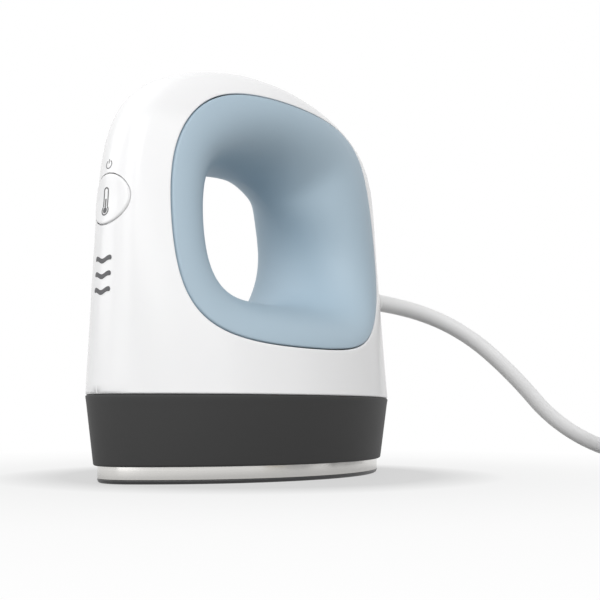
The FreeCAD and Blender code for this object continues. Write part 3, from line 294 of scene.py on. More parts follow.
WHITE = plastic("white_gloss_plastic", (0.90, 0.90, 0.905), 0.22, spread=0.01, height=0.004, strength=0.1)
BLUE = plastic("blue_soft_plastic", (0.41, 0.525, 0.612), 0.5, grain=3500, height=0.012, strength=0.25)
DARK = plastic("dark_grey_plastic", (0.020, 0.020, 0.020), 0.62, grain=3000, height=0.02, strength=0.35)
PRINT = plastic("dark_print", (0.075, 0.075, 0.08), 0.4, height=0.003, strength=0.1)
LEAD = plastic("white_lead_sheath", (0.90, 0.90, 0.90), 0.36, grain=350, height=0.01, strength=0.15)
TIE = plastic("cord_tie", (0.02, 0.02, 0.021), 0.6, grain=900, height=0.08, strength=0.5)
MINERAL = plastic("mineral_board", (0.62, 0.57, 0.46), 0.85, grain=700, height=0.08, strength=0.6)
PLATE = metal("polished_plate_edge", (0.66, 0.65, 0.63), 0.22, (0.02, 0.02, 20))
STEEL = metal("brushed_sheet_steel", (0.62, 0.61, 0.60), 0.34, (0.1, 8, 1))
SHEATH = metal("element_sheath", (0.42, 0.36, 0.30), 0.42, (0.2, 4, 4))
BRASS = metal("plated_blades", (0.74, 0.63, 0.42), 0.28, (6, 0.1, 1))


def sole_material():
    """Non-stick coating: near black with a fine speckle."""
    made = material("non_stick_coating", (0.028, 0.028, 0.03), 0.38)
    specks = noise(made, 5200, detail=1)
    vary_colour(made, specks, (0.018, 0.018, 0.019), (0.06, 0.06, 0.062))
    add_bump(made, specks, 0.01, 0.25)
    return made


def board_material():
    """Circuit board: green mask with darker copper areas under it."""
    made = material("circuit_board", (0.02, 0.13, 0.06), 0.35)
    areas = noise(made, 260, detail=0)
    vary_colour(made, areas, (0.012, 0.085, 0.04), (0.035, 0.2, 0.09))
    add_bump(made, areas, 0.02, 0.3)
    return made


SOLE = sole_material()
BOARD = board_material()
SLOT_MATERIALS = {
    "white_shell": WHITE,
    "white_button": WHITE,
    "blue_liner": BLUE,
    "grey_skirt": DARK,
    "plate_metal": PLATE,
    "non_stick": SOLE,
    "dark_lens": PRINT,
    "white_lead": LEAD,
    "tie_black": TIE,
    "blade_brass": BRASS,
    "element_steel": SHEATH,
    "sheet_steel": STEEL,
    "mineral_board": MINERAL,
    "board_green": BOARD,
    "black_component": plastic("black_component", (0.02, 0.02, 0.022), 0.5),
    "yellow_component": plastic("yellow_component", (0.62, 0.42, 0.05), 0.45),
    "green_terminal": plastic("green_terminal", (0.03, 0.2, 0.08), 0.45),
    "fuse_ceramic": plastic("fuse_ceramic", (0.72, 0.68, 0.6), 0.3),
    "led_white": plastic("led_cap", (0.8, 0.8, 0.7), 0.25),
    "plunger_black": plastic("switch_plunger", (0.03, 0.03, 0.03), 0.5),
    "clamp_plastic": plastic("clamp_plastic", (0.7, 0.7, 0.7), 0.5),
    "wire_sleeve": plastic("wire_sleeve", (0.5, 0.03, 0.02), 0.5, grain=1500),
    "ribbon_grey": plastic("ribbon_cable", (0.45, 0.47, 0.5), 0.5, grain=1200),
}
for subpart in frame["record"]["subparts"]:
    cad_object = frame["nodes"][subpart["node"]]
    for cad_slot in cad_object.material_slots:
        cad_slot.link = "OBJECT"
        cad_slot.material = SLOT_MATERIALS[subpart["material_slot"]]


# ---------------------------------------------------------------- the lead
CORD_ROUTE = [
    (CORD_EXIT_X, 0, CORD_EXIT_Z),
    (68, 0, CORD_EXIT_Z),
    (86, -7.5, 38),
    (99, -16, 25.5),
    (110, -23, 11.5),
    (124, -34.5, CORD_RADIUS),
    (131, -49, CORD_RADIUS),
    (133.4, -64.5, CORD_RADIUS),
    (132.6, -80.5, CORD_RADIUS),
]
COIL_RADIUS = 24.8
COIL_HALF_SPAN = 5.9
COIL_LAYERS = 4
TURNS_PER_LAYER = 2.55
POINTS_PER_TURN = 20
CLIMB_SHARE = 0.1
TOP_TURN = CORD_RADIUS * (2 * COIL_LAYERS - 1)
PLUG_Z = 6

entry = Vector(CORD_ROUTE[-1])
heading = (entry - Vector(CORD_ROUTE[-2])).normalized()
coil_outer = COIL_RADIUS + COIL_HALF_SPAN
coil_middle = entry + Vector((heading.y, -heading.x, 0)) * coil_outer


def on_top_turn(degrees):
    """A point on the coil's last turn, its outermost one on top."""
    turn = math.radians(degrees)
    x = coil_middle.x + coil_outer * math.cos(turn)
    y = coil_middle.y + coil_outer * math.sin(turn)
    return x, y, TOP_TURN


def beside_coil(x, y, z):
    """A point whose x and y are counted from the coil's middle."""
    return coil_middle.x + x, coil_middle.y + y, z


TAIL_ROUTE = [
    on_top_turn(-75),
    on_top_turn(-87),
    on_top_turn(-99),
    beside_coil(-14, -27.9, TOP_TURN),
    beside_coil(-27, -24, 11.9),
    beside_coil(-40.4, -21.9, PLUG_Z),
    beside_coil(-53, -21.9, PLUG_Z),
]


def coil_points():
    """The coil's turns, layer on layer, clockwise from above, from its outer edge in and out again."""
    start = math.atan2(entry.y - coil_middle.y, entry.x - coil_middle.x)
    steps = round(COIL_LAYERS * TURNS_PER_LAYER * POINTS_PER_TURN)
    cushion = 1 / math.cos(math.pi / POINTS_PER_TURN)
    points = []
    for step in range(1, steps):
        turns = step / POINTS_PER_TURN
        layer = int(turns / TURNS_PER_LAYER)
        share = turns / TURNS_PER_LAYER - layer
        inward = share if layer % 2 == 0 else 1 - share
        radius = (coil_outer - 2 * COIL_HALF_SPAN * inward) * cushion
        climb = 0.0
        if layer < COIL_LAYERS - 1:
            climb = max(0.0, (share - (1 - CLIMB_SHARE)) / CLIMB_SHARE)
        z = CORD_RADIUS + (layer + climb) * 2 * CORD_RADIUS
        angle = start - 2 * math.pi * turns
        x = coil_middle.x + radius * math.cos(angle)
        y = coil_middle.y + radius * math.sin(angle)
        points.append((x, y, z))
    return points


def lead():
    """The whole lead as one smooth curve: the free run, the coil and the tail to the plug."""
    data = bpy.data.curves.new("mains_lead", "CURVE")
    data.dimensions = "3D"
    data.bevel_depth = CORD_RADIUS * MM
    data.bevel_resolution = 8
    data.resolution_u = 12
    data.use_fill_caps = True
    points = CORD_ROUTE + coil_points() + TAIL_ROUTE
    spline = data.splines.new("NURBS")
    spline.points.add(len(points) - 1)
    for place, point in zip(spline.points, points):
        place.co = (*(Vector(point) * MM), 1)
    spline.order_u = 3
    spline.use_endpoint_u = True
    thing = bpy.data.objects.new("mains_lead", data)
    scene.collection.objects.link(thing)
    return dress(thing, LEAD, "white_lead", "power_cord", "cord_coil", "cord_tail")


def across_ring(x, middle, half_y, half_z, fullness=2.0):
    """A ring across X: an ellipse at fullness two, and nearer to a rectangle above it."""
    ring = []
    for step in range(AROUND):
        turn = 2 * math.pi * step / AROUND
        wide = math.copysign(abs(math.cos(turn)) ** (2 / fullness), math.cos(turn))
        high = math.copysign(abs(math.sin(turn)) ** (2 / fullness), math.sin(turn))
        ring.append(Vector((x, middle[0] + half_y * wide, middle[1] + half_z * high)))
    return ring


EDGE_STEPS = 6


def rounded_end(inset):
    """Pairs of (distance from the end, amount the section is drawn in) round an edge."""
    turns = [math.pi / 2 * step / EDGE_STEPS for step in range(EDGE_STEPS)]
    return [(inset * (1 - math.sin(turn)), inset * (1 - math.cos(turn))) for turn in reversed(turns)]


RELIEF_START = 29.0
RELIEF_FLANGE = (38.2, 40.3)
RELIEF_SHANK_RADIUS = 3.0
RELIEF_FLANGE_RADIUS = 4.2
RELIEF_NECK_RADIUS = 3.4
RELIEF_TAPER_X = 44.2
RELIEF_END_RADIUS = 2.75
RELIEF_LIP = 0.3
RELIEF_STEPS = 14


def strain_relief():
    """The sleeve that the lead leaves by: a shank and flange inside the shell, and a slim taper outside."""
    middle = (0.0, CORD_EXIT_Z)
    profile = [
        (RELIEF_START, RELIEF_SHANK_RADIUS),
        (RELIEF_FLANGE[0], RELIEF_SHANK_RADIUS),
        (RELIEF_FLANGE[0], RELIEF_FLANGE_RADIUS),
        (RELIEF_FLANGE[1], RELIEF_FLANGE_RADIUS),
        (RELIEF_FLANGE[1], RELIEF_NECK_RADIUS),
        (RELIEF_TAPER_X, RELIEF_NECK_RADIUS),
    ]
    for step in range(1, RELIEF_STEPS + 1):
        share = step / RELIEF_STEPS
        x = RELIEF_TAPER_X + (CORD_EXIT_X - RELIEF_LIP - RELIEF_TAPER_X) * share
        ease = share * share * (3 - 2 * share)
        profile.append((x, RELIEF_NECK_RADIUS + (RELIEF_END_RADIUS - RELIEF_NECK_RADIUS) * ease))
    for away, drawn in reversed(rounded_end(RELIEF_LIP)):
        profile.append((CORD_EXIT_X - away, RELIEF_END_RADIUS - drawn))
    rings = [across_ring(x, middle, radius, radius) for x, radius in profile]
    return dress(solid_loft("strain_relief_sleeve", rings), LEAD, "white_lead", "strain_relief")


PLUG_END = Vector(TAIL_ROUTE[-1])
PLUG_NECK = 10
PLUG_LENGTH = 30
PLUG_HALF_WIDTH = 12.5
PLUG_HALF_THICKNESS = PLUG_Z
PLUG_EDGE = 1.8
PLUG_FULLNESS = 4.5
PLUG_WAIST = 1.6
PLUG_THUMB = 0.9
PLUG_RIBS = 5
PLUG_RIB = 0.3
PLUG_RIBBED = (0.25, 0.75)
PLUG_STEPS = 80
plug_face_x = PLUG_END.x - PLUG_NECK - PLUG_LENGTH
NECK_ROOT = 1
NECK_START_RADIUS = 4.6
NECK_END_RADIUS = 2.7
NECK_RINGS = 4
NECK_GROOVE = 0.45
NECK_PLAIN = 0.12
NECK_STEPS = 64


def grip_ribs(share):
    """How high the grip's ribs stand, from zero to one, at a share of its length."""
    first, last = PLUG_RIBBED
    if not first < share < last:
        return 0.0
    return 0.5 - 0.5 * math.cos(2 * math.pi * PLUG_RIBS * (share - first) / (last - first))


def plug_grip():
    """The plug's moulded grip: a waist for two fingers, a thumb hollow on each face and ribs across it."""
    rings = []

    def add_ring(x, drawn_y, drawn_z):
        half_y = PLUG_HALF_WIDTH - drawn_y
        half_z = PLUG_HALF_THICKNESS - drawn_z
        rings.append(across_ring(x, (PLUG_END.y, PLUG_END.z), half_y, half_z, PLUG_FULLNESS))

    for away, drawn in rounded_end(PLUG_EDGE):
        add_ring(plug_face_x + away, drawn, drawn)
    for step in range(1, PLUG_STEPS):
        share = step / PLUG_STEPS
        hollow = math.sin(math.pi * share) ** 2
        rib = PLUG_RIB * grip_ribs(share)
        x = plug_face_x + PLUG_EDGE + (PLUG_LENGTH - 2 * PLUG_EDGE) * share
        add_ring(x, PLUG_WAIST * hollow - rib, PLUG_THUMB * hollow - rib)
    for away, drawn in reversed(rounded_end(PLUG_EDGE)):
        add_ring(plug_face_x + PLUG_LENGTH - away, drawn, drawn)
    return dress(solid_loft("plug_grip", rings), LEAD, "white_lead", "plug_body")


def neck_groove(share):
    """How deep the bend relief's grooves are, from zero to one, at a share of its length."""
    if not NECK_PLAIN < share < 1 - NECK_PLAIN:
        return 0.0
    return math.sin(math.pi * NECK_RINGS * (share - NECK_PLAIN) / (1 - 2 * NECK_PLAIN)) ** 6


def plug_neck():
    """The plug's bend relief: a taper with grooves round it, rooted in the grip."""
    rings = []
    for step in range(NECK_STEPS + 1):
        share = step / NECK_STEPS
        x = PLUG_END.x - (PLUG_NECK + NECK_ROOT) * (1 - share)
        radius = NECK_START_RADIUS + (NECK_END_RADIUS - NECK_START_RADIUS) * share
        radius -= NECK_GROOVE * neck_groove(share)
        rings.append(across_ring(x, (PLUG_END.y, PLUG_END.z), radius, radius))
    return dress(solid_loft("plug_neck_relief", rings), LEAD, "white_lead", "plug_body")


BLADE_LENGTH = 17.5
BLADE_HALF_WIDTH = 3.175
BLADE_THICKNESS = 1.5
BLADE_SPACING = 12.7
BLADE_CORNER = 1.4
BLADE_EDGE = 0.15
BLADE_HOLE_RADIUS = 1.6
BLADE_HOLE_PLACE = 4.0
BLADE_ROOT = 1
BLADE_STEPS = 160


def blade_reach(turn, tip, root):
    """Distance from the blade's hole to its outline: a strip with two cut corners at its tip."""
    across = math.cos(turn)
    up = math.sin(turn)
    reach = (root if across > 0 else tip) / max(abs(across), TINY)
    reach = min(reach, BLADE_HALF_WIDTH / max(abs(up), TINY))
    if across < 0:
        corner = tip + BLADE_HALF_WIDTH - BLADE_CORNER
        reach = min(reach, corner / (abs(across) + abs(up)))
    return reach


def plug_blade(side):
    """One flat blade with a hole near its tip and its edges broken."""
    hole_x = plug_face_x - BLADE_LENGTH + BLADE_HOLE_PLACE
    middle_y = PLUG_END.y + side * BLADE_SPACING / 2
    half = BLADE_THICKNESS / 2
    turns = [2 * math.pi * step / BLADE_STEPS for step in range(BLADE_STEPS)]
    root = BLADE_LENGTH - BLADE_HOLE_PLACE + BLADE_ROOT
    outline = [blade_reach(turn, BLADE_HOLE_PLACE, root) for turn in turns]
    broken = [reach - BLADE_EDGE for reach in outline]
    sections = [
        ([BLADE_HOLE_RADIUS] * BLADE_STEPS, half - BLADE_EDGE),
        ([BLADE_HOLE_RADIUS + BLADE_EDGE] * BLADE_STEPS, half),
        (broken, half),
        (outline, half - BLADE_EDGE),
    ]
    mirrored = [(reaches, -y) for reaches, y in reversed(sections)]
    rings = []
    for reaches, y in sections + mirrored:
        ring = []
        for turn, reach in zip(turns, reaches):
            x = hole_x + reach * math.cos(turn)
            z = PLUG_Z + reach * math.sin(turn)
            ring.append(Vector((x, middle_y + y, z)))
        rings.append(ring)
    label = "left" if side > 0 else "right"
    thing = solid_tube(f"plug_blade_{label}", rings, smooth=False)
    return dress(thing, BRASS, "blade_brass", "plug_blades")


TIE_THICKNESS = 0.8
TIE_HALF_WIDTH = 4.5
TIE_EDGE = 0.25
TIE_CORNER_STEPS = 20
coil_inner_edge = COIL_RADIUS - COIL_HALF_SPAN - CORD_RADIUS
coil_outer_edge = COIL_RADIUS + COIL_HALF_SPAN + CORD_RADIUS


def tie_outline(grow, y):
    """The tie's line round the coil's section: a rectangle with round corners, at a place along Y."""
    low_x = coil_middle.x - coil_outer_edge - grow
    high_x = coil_middle.x - coil_inner_edge + grow
    low_z = TIE_THICKNESS - grow
    high_z = 2 * CORD_RADIUS * COIL_LAYERS + grow
    round_by = CORD_RADIUS + grow
    middles = [
        (high_x - round_by, high_z - round_by), (low_x + round_by, high_z - round_by),
        (low_x + round_by, low_z + round_by), (high_x - round_by, low_z + round_by),
    ]
    ring = []
    for quarter, (x, z) in enumerate(middles):
        for step in range(TIE_CORNER_STEPS + 1):
            turn = math.pi / 2 * (quarter + step / TIE_CORNER_STEPS)
            ring.append(Vector((x + round_by * math.cos(turn), y, z + round_by * math.sin(turn))))
    return ring


def cord_tie():
    """The band of woven hook-and-loop tape round one side of the coil."""
    sections = [
        (0.0, -TIE_HALF_WIDTH),
        (TIE_THICKNESS - TIE_EDGE, -TIE_HALF_WIDTH),
        (TIE_THICKNESS, -TIE_HALF_WIDTH + TIE_EDGE),
        (TIE_THICKNESS, TIE_HALF_WIDTH - TIE_EDGE),
        (TIE_THICKNESS - TIE_EDGE, TIE_HALF_WIDTH),
        (0.0, TIE_HALF_WIDTH),
    ]
    rings = [tie_outline(grow, coil_middle.y + y) for grow, y in sections]
    return dress(solid_tube("cord_tie_band", rings), TIE, "tie_black", "cord_tie")


lead_pieces = [strain_relief(), plug_grip(), plug_neck(), plug_blade(1), plug_blade(-1), cord_tie()]
lead()


# ---------------------------------------------------------------- shape of the white shell
def crown_reach(share, rise, rounding):
    """How much of the base's reach is left at a share of the height: one at the deck, zero at the top."""
    return (1 - share ** rise) ** (1 / rounding)


def shell_section(z):
    """Nose x, rear x, half width and tip radius of the shell at a height."""
    share = min(TOP_SHARE, max(0.0, (z - DECK_TOP) / (BODY_TOP - DECK_TOP)))
    base_length = PLATE_HALF_LENGTH + SKIRT_FLARE_TOP
    base_width = PLATE_HALF_WIDTH + SKIRT_FLARE_TOP
    base_tip = PLATE_TIP + SKIRT_FLARE_TOP
    nose = CROWN_X - (base_length + CROWN_X) * crown_reach(share, NOSE_RISE, NOSE_ROUND) + NOSE_LEAN * share
    rear = CROWN_X + (base_length - CROWN_X) * crown_reach(share, REAR_RISE, REAR_ROUND)
    half_width = base_width * crown_reach(share, SIDE_RISE, SIDE_ROUND)
    tip = min(base_tip + (CROWN_TIP - base_tip) * share, TIP_TO_HALF_WIDTH * half_width)
    return nose, rear, half_width, tip


def shell_half_width(x, z):
    """Half the shell's width at a place in the side view, or zero outside it."""
    nose, rear, half_width, tip = shell_section(z)
    half_length = (rear - nose) / 2
    across = abs(x - (rear + nose) / 2)
    if across >= half_length:
        return 0.0
    side, drop, reach, turn = oval_arcs(half_length, half_width, tip)
    if across < side * math.sin(turn):
        return math.sqrt(side ** 2 - across ** 2) - drop
    return math.sqrt(max(0.0, tip ** 2 - (across - reach) ** 2))


def shell_nose_x(y, z):
    """The x of the shell's surface on the nose side, for a small y."""
    nose, rear, half_width, tip = shell_section(z)
    side, drop, _, turn = oval_arcs((rear - nose) / 2, half_width, tip)
    if abs(y) < tip * math.cos(turn):
        return nose + tip - math.sqrt(tip ** 2 - y ** 2)
    return (rear + nose) / 2 - math.sqrt(side ** 2 - (abs(y) + drop) ** 2)


def shell_rear_x(y, z):
    """The x of the shell's surface on the rear side, within the round of its tip."""
    _, rear, _, tip = shell_section(z)
    return rear - tip + math.sqrt(tip ** 2 - y ** 2)


def section_normal(x, y, z):
    """Outward direction, in plan, of the shell's outline at a point on it."""
    nose, rear, half_width, tip = shell_section(z)
    side, drop, reach, turn = oval_arcs((rear - nose) / 2, half_width, tip)
    along = x - (rear + nose) / 2
    if abs(along) < side * math.sin(turn):
        return Vector((along, y + math.copysign(drop, y), 0)).normalized()
    return Vector((along - math.copysign(reach, along), y, 0)).normalized()


# ---------------------------------------------------------------- finger opening
RIM = (34.1, 50.0, 28.1, 32.9, 31.6, 38.5, 29.4, 32.8)
THROAT = (15.9, 11.4, 11.5, 21.2, 20.4, 28.2, 17.9, 34.0)
RIM_SHARPNESS = 8.0
THROAT_SHARPNESS = 5.0
CEILING_SLOPE = 0.4
CEILING_TURN = math.radians(85)


def outline_radius(reaches, sharpness, angle):
    """Distance to an outline whose reach is given every eighth of a turn, from the rear upwards."""
    total = 0.0
    for number, reach in enumerate(reaches):
        facing = math.cos(angle - number * math.pi / 4)
        total += (max(0.0, facing) / reach) ** sharpness
    return total ** (-1 / sharpness)


def rim_radius(angle):
    """Distance from the opening's middle to its rim."""
    return outline_radius(RIM, RIM_SHARPNESS, angle)


def throat_radius(angle):
    """Distance from the opening's middle to its narrowest part."""
    return outline_radius(THROAT, THROAT_SHARPNESS, angle)


def wall_power(angle):
    """How full the liner wall's curve is: two is an ellipse, the ceiling is nearer to a straight slope."""
    return 2 - CEILING_SLOPE * max(0.0, math.cos(angle - CEILING_TURN)) ** 2


def opening_place(angle, radius):
    """x and z of a point seen from the opening's middle."""
    return OPENING_X + radius * math.cos(angle), OPENING_Z + radius * math.sin(angle)


SEARCH_REACH = 80.0
HALVINGS = 40


def silhouette_radius(angle, bottom):
    """Distance from the opening's middle to the edge of the shell's side view, found by halving."""
    near, far = 0.0, SEARCH_REACH
    top = DECK_TOP + TOP_SHARE * (BODY_TOP - DECK_TOP)
    for _ in range(HALVINGS):
        middle = (near + far) / 2
        x, z = opening_place(angle, middle)
        if bottom < z < top and shell_half_width(x, z) > 0:
            near = middle
        else:
            far = middle
    return near


EDGE_ROUND = 0.35
SEAM_DEPTH = 1.6
DECK_GAP = 0.08
SHELL_FOOT = DECK_TOP + DECK_GAP
UPPER_STEPS = 240
LOWER_STEPS = 110


def shell_angles():
    """Directions round the opening, with the two lower corners of the side view among them."""
    bottom = SHELL_FOOT + EDGE_ROUND
    reach = PLATE_HALF_LENGTH + SKIRT_FLARE_TOP
    rear_corner = math.atan2(bottom - OPENING_Z, reach - OPENING_X)
    nose_corner = math.atan2(bottom - OPENING_Z, -reach - OPENING_X) + 2 * math.pi
    upper_span = nose_corner - rear_corner
    upper = [rear_corner + upper_span * step / UPPER_STEPS for step in range(UPPER_STEPS)]
    lower_span = rear_corner + 2 * math.pi - nose_corner
    lower = [nose_corner + lower_span * step / LOWER_STEPS for step in range(LOWER_STEPS)]
    return upper + lower, len(upper)


RADIAL_STEPS = 44


def shell_rings():
    """Rings of points from the seam inside the opening's rim out to the shell's outline, at +y."""
    angles, corner = shell_angles()
    bottom = SHELL_FOOT + EDGE_ROUND
    edge = [rim_radius(angle) + LINER_GAP for angle in angles]
    limit = [silhouette_radius(angle, bottom) for angle in angles]
    rings = []

    def ring_at(radii, depth):
        ring = []
        for angle, radius in zip(angles, radii):
            x, z = opening_place(angle, radius)
            ring.append(Vector((x, shell_half_width(x, z) - depth, z)))
        return ring

    rings.append(ring_at(edge, SEAM_DEPTH))
    for step in range(ROLL_STEPS):
        roll = math.pi / 2 * (1 - step / ROLL_STEPS)
        radii = [near + EDGE_ROUND * (1 - math.sin(roll)) for near in edge]
        rings.append(ring_at(radii, EDGE_ROUND * (1 - math.cos(roll))))
    for step in range(RADIAL_STEPS):
        share = step / RADIAL_STEPS
        radii = []
        for near, far in zip(edge, limit):
            start = near + EDGE_ROUND
            radii.append(far - (far - start) * (1 - share) ** 2)
        rings.append(ring_at(radii, 0.0))
    last = []
    for number, (angle, far) in enumerate(zip(angles, limit)):
        x, z = opening_place(angle, far)
        below = number > corner
        last.append(Vector((x, shell_half_width(x, bottom) if below else 0.0, bottom if below else z)))
    rings.append(last)
    return rings, corner


MERGE_REACH = 0.002


def shell_mesh():
    """Both halves of the shell, with its lower edge rolled in."""
    rings, corner = shell_rings()
    mesh = bmesh.new()
    count = len(rings[0])
    feet = {}
    for side in (1, -1):
        loops = []
        for ring in rings:
            loops.append([mesh.verts.new(Vector((p.x, side * p.y, p.z)) * MM) for p in ring])
        for low, high in zip(loops, loops[1:]):
            for step in range(count):
                after = (step + 1) % count
                face = (low[step], low[after], high[after], high[step])
                mesh.faces.new(face if side > 0 else face[::-1])
        feet[side] = loops[-1][corner:] + [loops[-1][0]]
    foot = feet[1] + feet[-1][::-1][1:-1]
    previous = foot
    turns = [math.pi / 2 * (step + 1) / ROLL_STEPS for step in range(ROLL_STEPS)]
    roll = [(EDGE_ROUND * (1 - math.cos(turn)), EDGE_ROUND * (1 - math.sin(turn))) for turn in turns]
    for inset, rise in roll + [(SEAM_DEPTH, 0.0)]:
        current = []
        for vert in foot:
            place = vert.co / MM
            shift = -section_normal(place.x, place.y, DECK_TOP) * inset
            moved = Vector((place.x + shift.x, place.y + shift.y, SHELL_FOOT + rise))
            current.append(mesh.verts.new(moved * MM))
        for step in range(len(foot)):
            after = (step + 1) % len(foot)
            mesh.faces.new((previous[step], previous[after], current[after], current[step]))
        previous = current
    bmesh.ops.remove_doubles(mesh, verts=mesh.verts, dist=MERGE_REACH * MM)
    return finish_mesh("shell_skin", mesh)


def rod_along_x(name, radius, start, end, z):
    """A round cutter along X."""
    bpy.ops.mesh.primitive_cylinder_add(
        vertices=AROUND, radius=radius * MM, depth=(end - start) * MM,
        location=((start + end) / 2 * MM, 0, z * MM), rotation=(0, math.pi / 2, 0),
    )
    rod = bpy.context.object
    rod.name = name
    return rod


SAME_WAY = 0.6
ON_SKIN = 0.02


def skin_normal(source, tree, co):
    """The uncut skin's smooth normal nearest to a place, and how far off the skin the place is."""
    _, _, index, distance = tree.find_nearest(co)
    blend = Vector()
    total = 0.0
    for corner in source.polygons[index].vertices:
        vert = source.vertices[corner]
        share = 1 / ((vert.co - co).length + TINY)
        blend += vert.normal * share
        total += share
    return (blend / total).normalized(), distance


def cut_keeping_shading(thing, cutters):
    """Cuts holes and then keeps the smooth shading of the uncut skin."""
    source = thing.data.copy()
    tree = BVHTree.FromPolygons(
        [vert.co for vert in source.vertices], [face.vertices for face in source.polygons]
    )
    for cutter in cutters:
        bite = thing.modifiers.new("hole", "BOOLEAN")
        bite.operation = "DIFFERENCE"
        bite.object = cutter
        bite.solver = "EXACT"
    depsgraph = bpy.context.evaluated_depsgraph_get()
    cut = bpy.data.meshes.new_from_object(thing.evaluated_get(depsgraph))
    thing.modifiers.clear()
    thing.data = cut
    for cutter in cutters:
        bpy.data.objects.remove(cutter, do_unlink=True)
    normals = []
    for face in cut.polygons:
        face.use_smooth = True
        for number in face.vertices:
            smooth, distance = skin_normal(source, tree, cut.vertices[number].co)
            on_skin = smooth.dot(face.normal) > SAME_WAY and distance < ON_SKIN * MM
            normals.append(smooth if on_skin else face.normal.copy())
    cut.normals_split_custom_set(normals)


HOLE_DEPTH = 1.2
STEP_CLEARANCE = 0.05
LEAD_HOLE_RADIUS = 3.6
BUTTON_HOLE_RADIUS = BUTTON_RADIUS + BUTTON_GAP
BUTTON_CUTTER_SPAN = (-50, -38)
LEAD_CUTTER_SPAN = (39, 50)


def hole_wall(name, radius, step_radius, middle_z, surface, inward):
    """The wall of a round hole in the shell, and the narrow step at its inner end."""
    rings = []
    for reach, sink in ((radius, 0.0), (radius, HOLE_DEPTH), (step_radius, HOLE_DEPTH)):
        ring = []
        for step in range(AROUND):
            turn = 2 * math.pi * step / AROUND
            mouth = surface(radius * math.cos(turn), middle_z + radius * math.sin(turn))
            place = (mouth + inward * sink, reach * math.cos(turn), middle_z + reach * math.sin(turn))
            ring.append(Vector(place))
        rings.append(ring)
    return dress(lofted(name, rings), WHITE, "white_shell", "outer_shell")


shell_skin = shell_mesh()
cut_keeping_shading(
    shell_skin,
    [
        rod_along_x("button_hole", BUTTON_HOLE_RADIUS, *BUTTON_CUTTER_SPAN, BUTTON_Z),
        rod_along_x("lead_hole", LEAD_HOLE_RADIUS, *LEAD_CUTTER_SPAN, CORD_EXIT_Z),
    ],
)
dress(shell_skin, WHITE, "white_shell", "outer_shell")
button_step = BUTTON_RADIUS + STEP_CLEARANCE
lead_step = RELIEF_NECK_RADIUS + STEP_CLEARANCE
hole_wall("button_hole_wall", BUTTON_HOLE_RADIUS, button_step, BUTTON_Z, shell_nose_x, 1)
hole_wall("lead_hole_wall", LEAD_HOLE_RADIUS, lead_step, CORD_EXIT_Z, shell_rear_x, -1)


# ---------------------------------------------------------------- blue liner halves
LINER_ANGLES = 288
LINER_STEPS = 30
LINER_ROUND = 0.3


def saddle_y(angle, radius, rim, throat):
    """Height of the liner's skin over the middle plane, at a distance from the opening's middle."""
    x, z = opening_place(angle, radius)
    power = wall_power(angle)
    share = max(0.0, min(1.0, (rim - radius) / (rim - throat)))
    return shell_half_width(x, z) * (1 - share ** power) ** (1 / power)


def liner_half(name, side, node):
    """One half of the liner: a saddle from the middle plane in the throat out to the rolled rim."""
    rings = []
    angles = [2 * math.pi * step / LINER_ANGLES for step in range(LINER_ANGLES)]
    spans = [(rim_radius(angle), throat_radius(angle)) for angle in angles]

    def ring_at(share):
        ring = []
        for angle, (rim, throat) in zip(angles, spans):
            end = rim - LINER_ROUND
            radius = rim - (rim - throat) * math.cos(share * math.pi / 2) ** (2 / wall_power(angle))
            radius = min(radius, end)
            x, z = opening_place(angle, radius)
            ring.append(Vector((x, saddle_y(angle, radius, rim, throat), z)))
        return ring

    rings.append([Vector((p.x, 0.0, p.z)) for p in ring_at(0.0)])
    for step in range(1, LINER_STEPS + 1):
        rings.append(ring_at(step / LINER_STEPS))
    for step in range(1, ROLL_STEPS + 1):
        turn = math.pi / 2 * step / ROLL_STEPS
        ring = []
        for angle, (rim, throat) in zip(angles, spans):
            radius = rim - LINER_ROUND + LINER_ROUND * math.sin(turn)
            x, z = opening_place(angle, radius)
            y = saddle_y(angle, radius, rim, throat) - LINER_ROUND * (1 - math.cos(turn))
            ring.append(Vector((x, y, z)))
        rings.append(ring)
    rings.append([Vector((p.x, p.y - SEAM_DEPTH, p.z)) for p in rings[-1]])
    rings = [[Vector((p.x, side * p.y, p.z)) for p in ring] for ring in rings]
    return dress(lofted(name, rings, flip=side < 0), BLUE, "blue_liner", node)


liner_half("liner_skin_left", 1, "handle_liner_left")
liner_half("liner_skin_right", -1, "handle_liner_right")


# ---------------------------------------------------------------- skirt, plate and sole
QUARTER = math.pi / 2
SKIRT_LIP = 1.5
SKIRT_FOOT_ROUND = 0.5
SKIRT_TOP_ROUND = 0.3
SKIRT_STEPS = 12
PLATE_ROUND = 0.2
PLATE_BEHIND_SKIRT = 0.6
PLATE_TOP_INSET = 3
SOLE_PROFILE = [
    (-SOLE_BEVEL - 0.1, 0.0),
    (-SOLE_BEVEL, 0.02),
    (-SOLE_BEVEL * 0.4, SOLE_BEVEL * 0.45),
    (-0.08, SOLE_BEVEL),
    (0.0, SOLE_BEVEL + 0.12),
    (0.0, SOLE_TOP - 0.02),
]


def rolled(offset, z, radius, start, end):
    """Rings round an edge fillet, between two angles; the centre is inside the outline."""
    rings = []
    for step in range(ROLL_STEPS + 1):
        turn = start + (end - start) * step / ROLL_STEPS
        rings.append(oval_ring(offset + radius * math.cos(turn) - radius, z + radius * math.sin(turn)))
    return rings


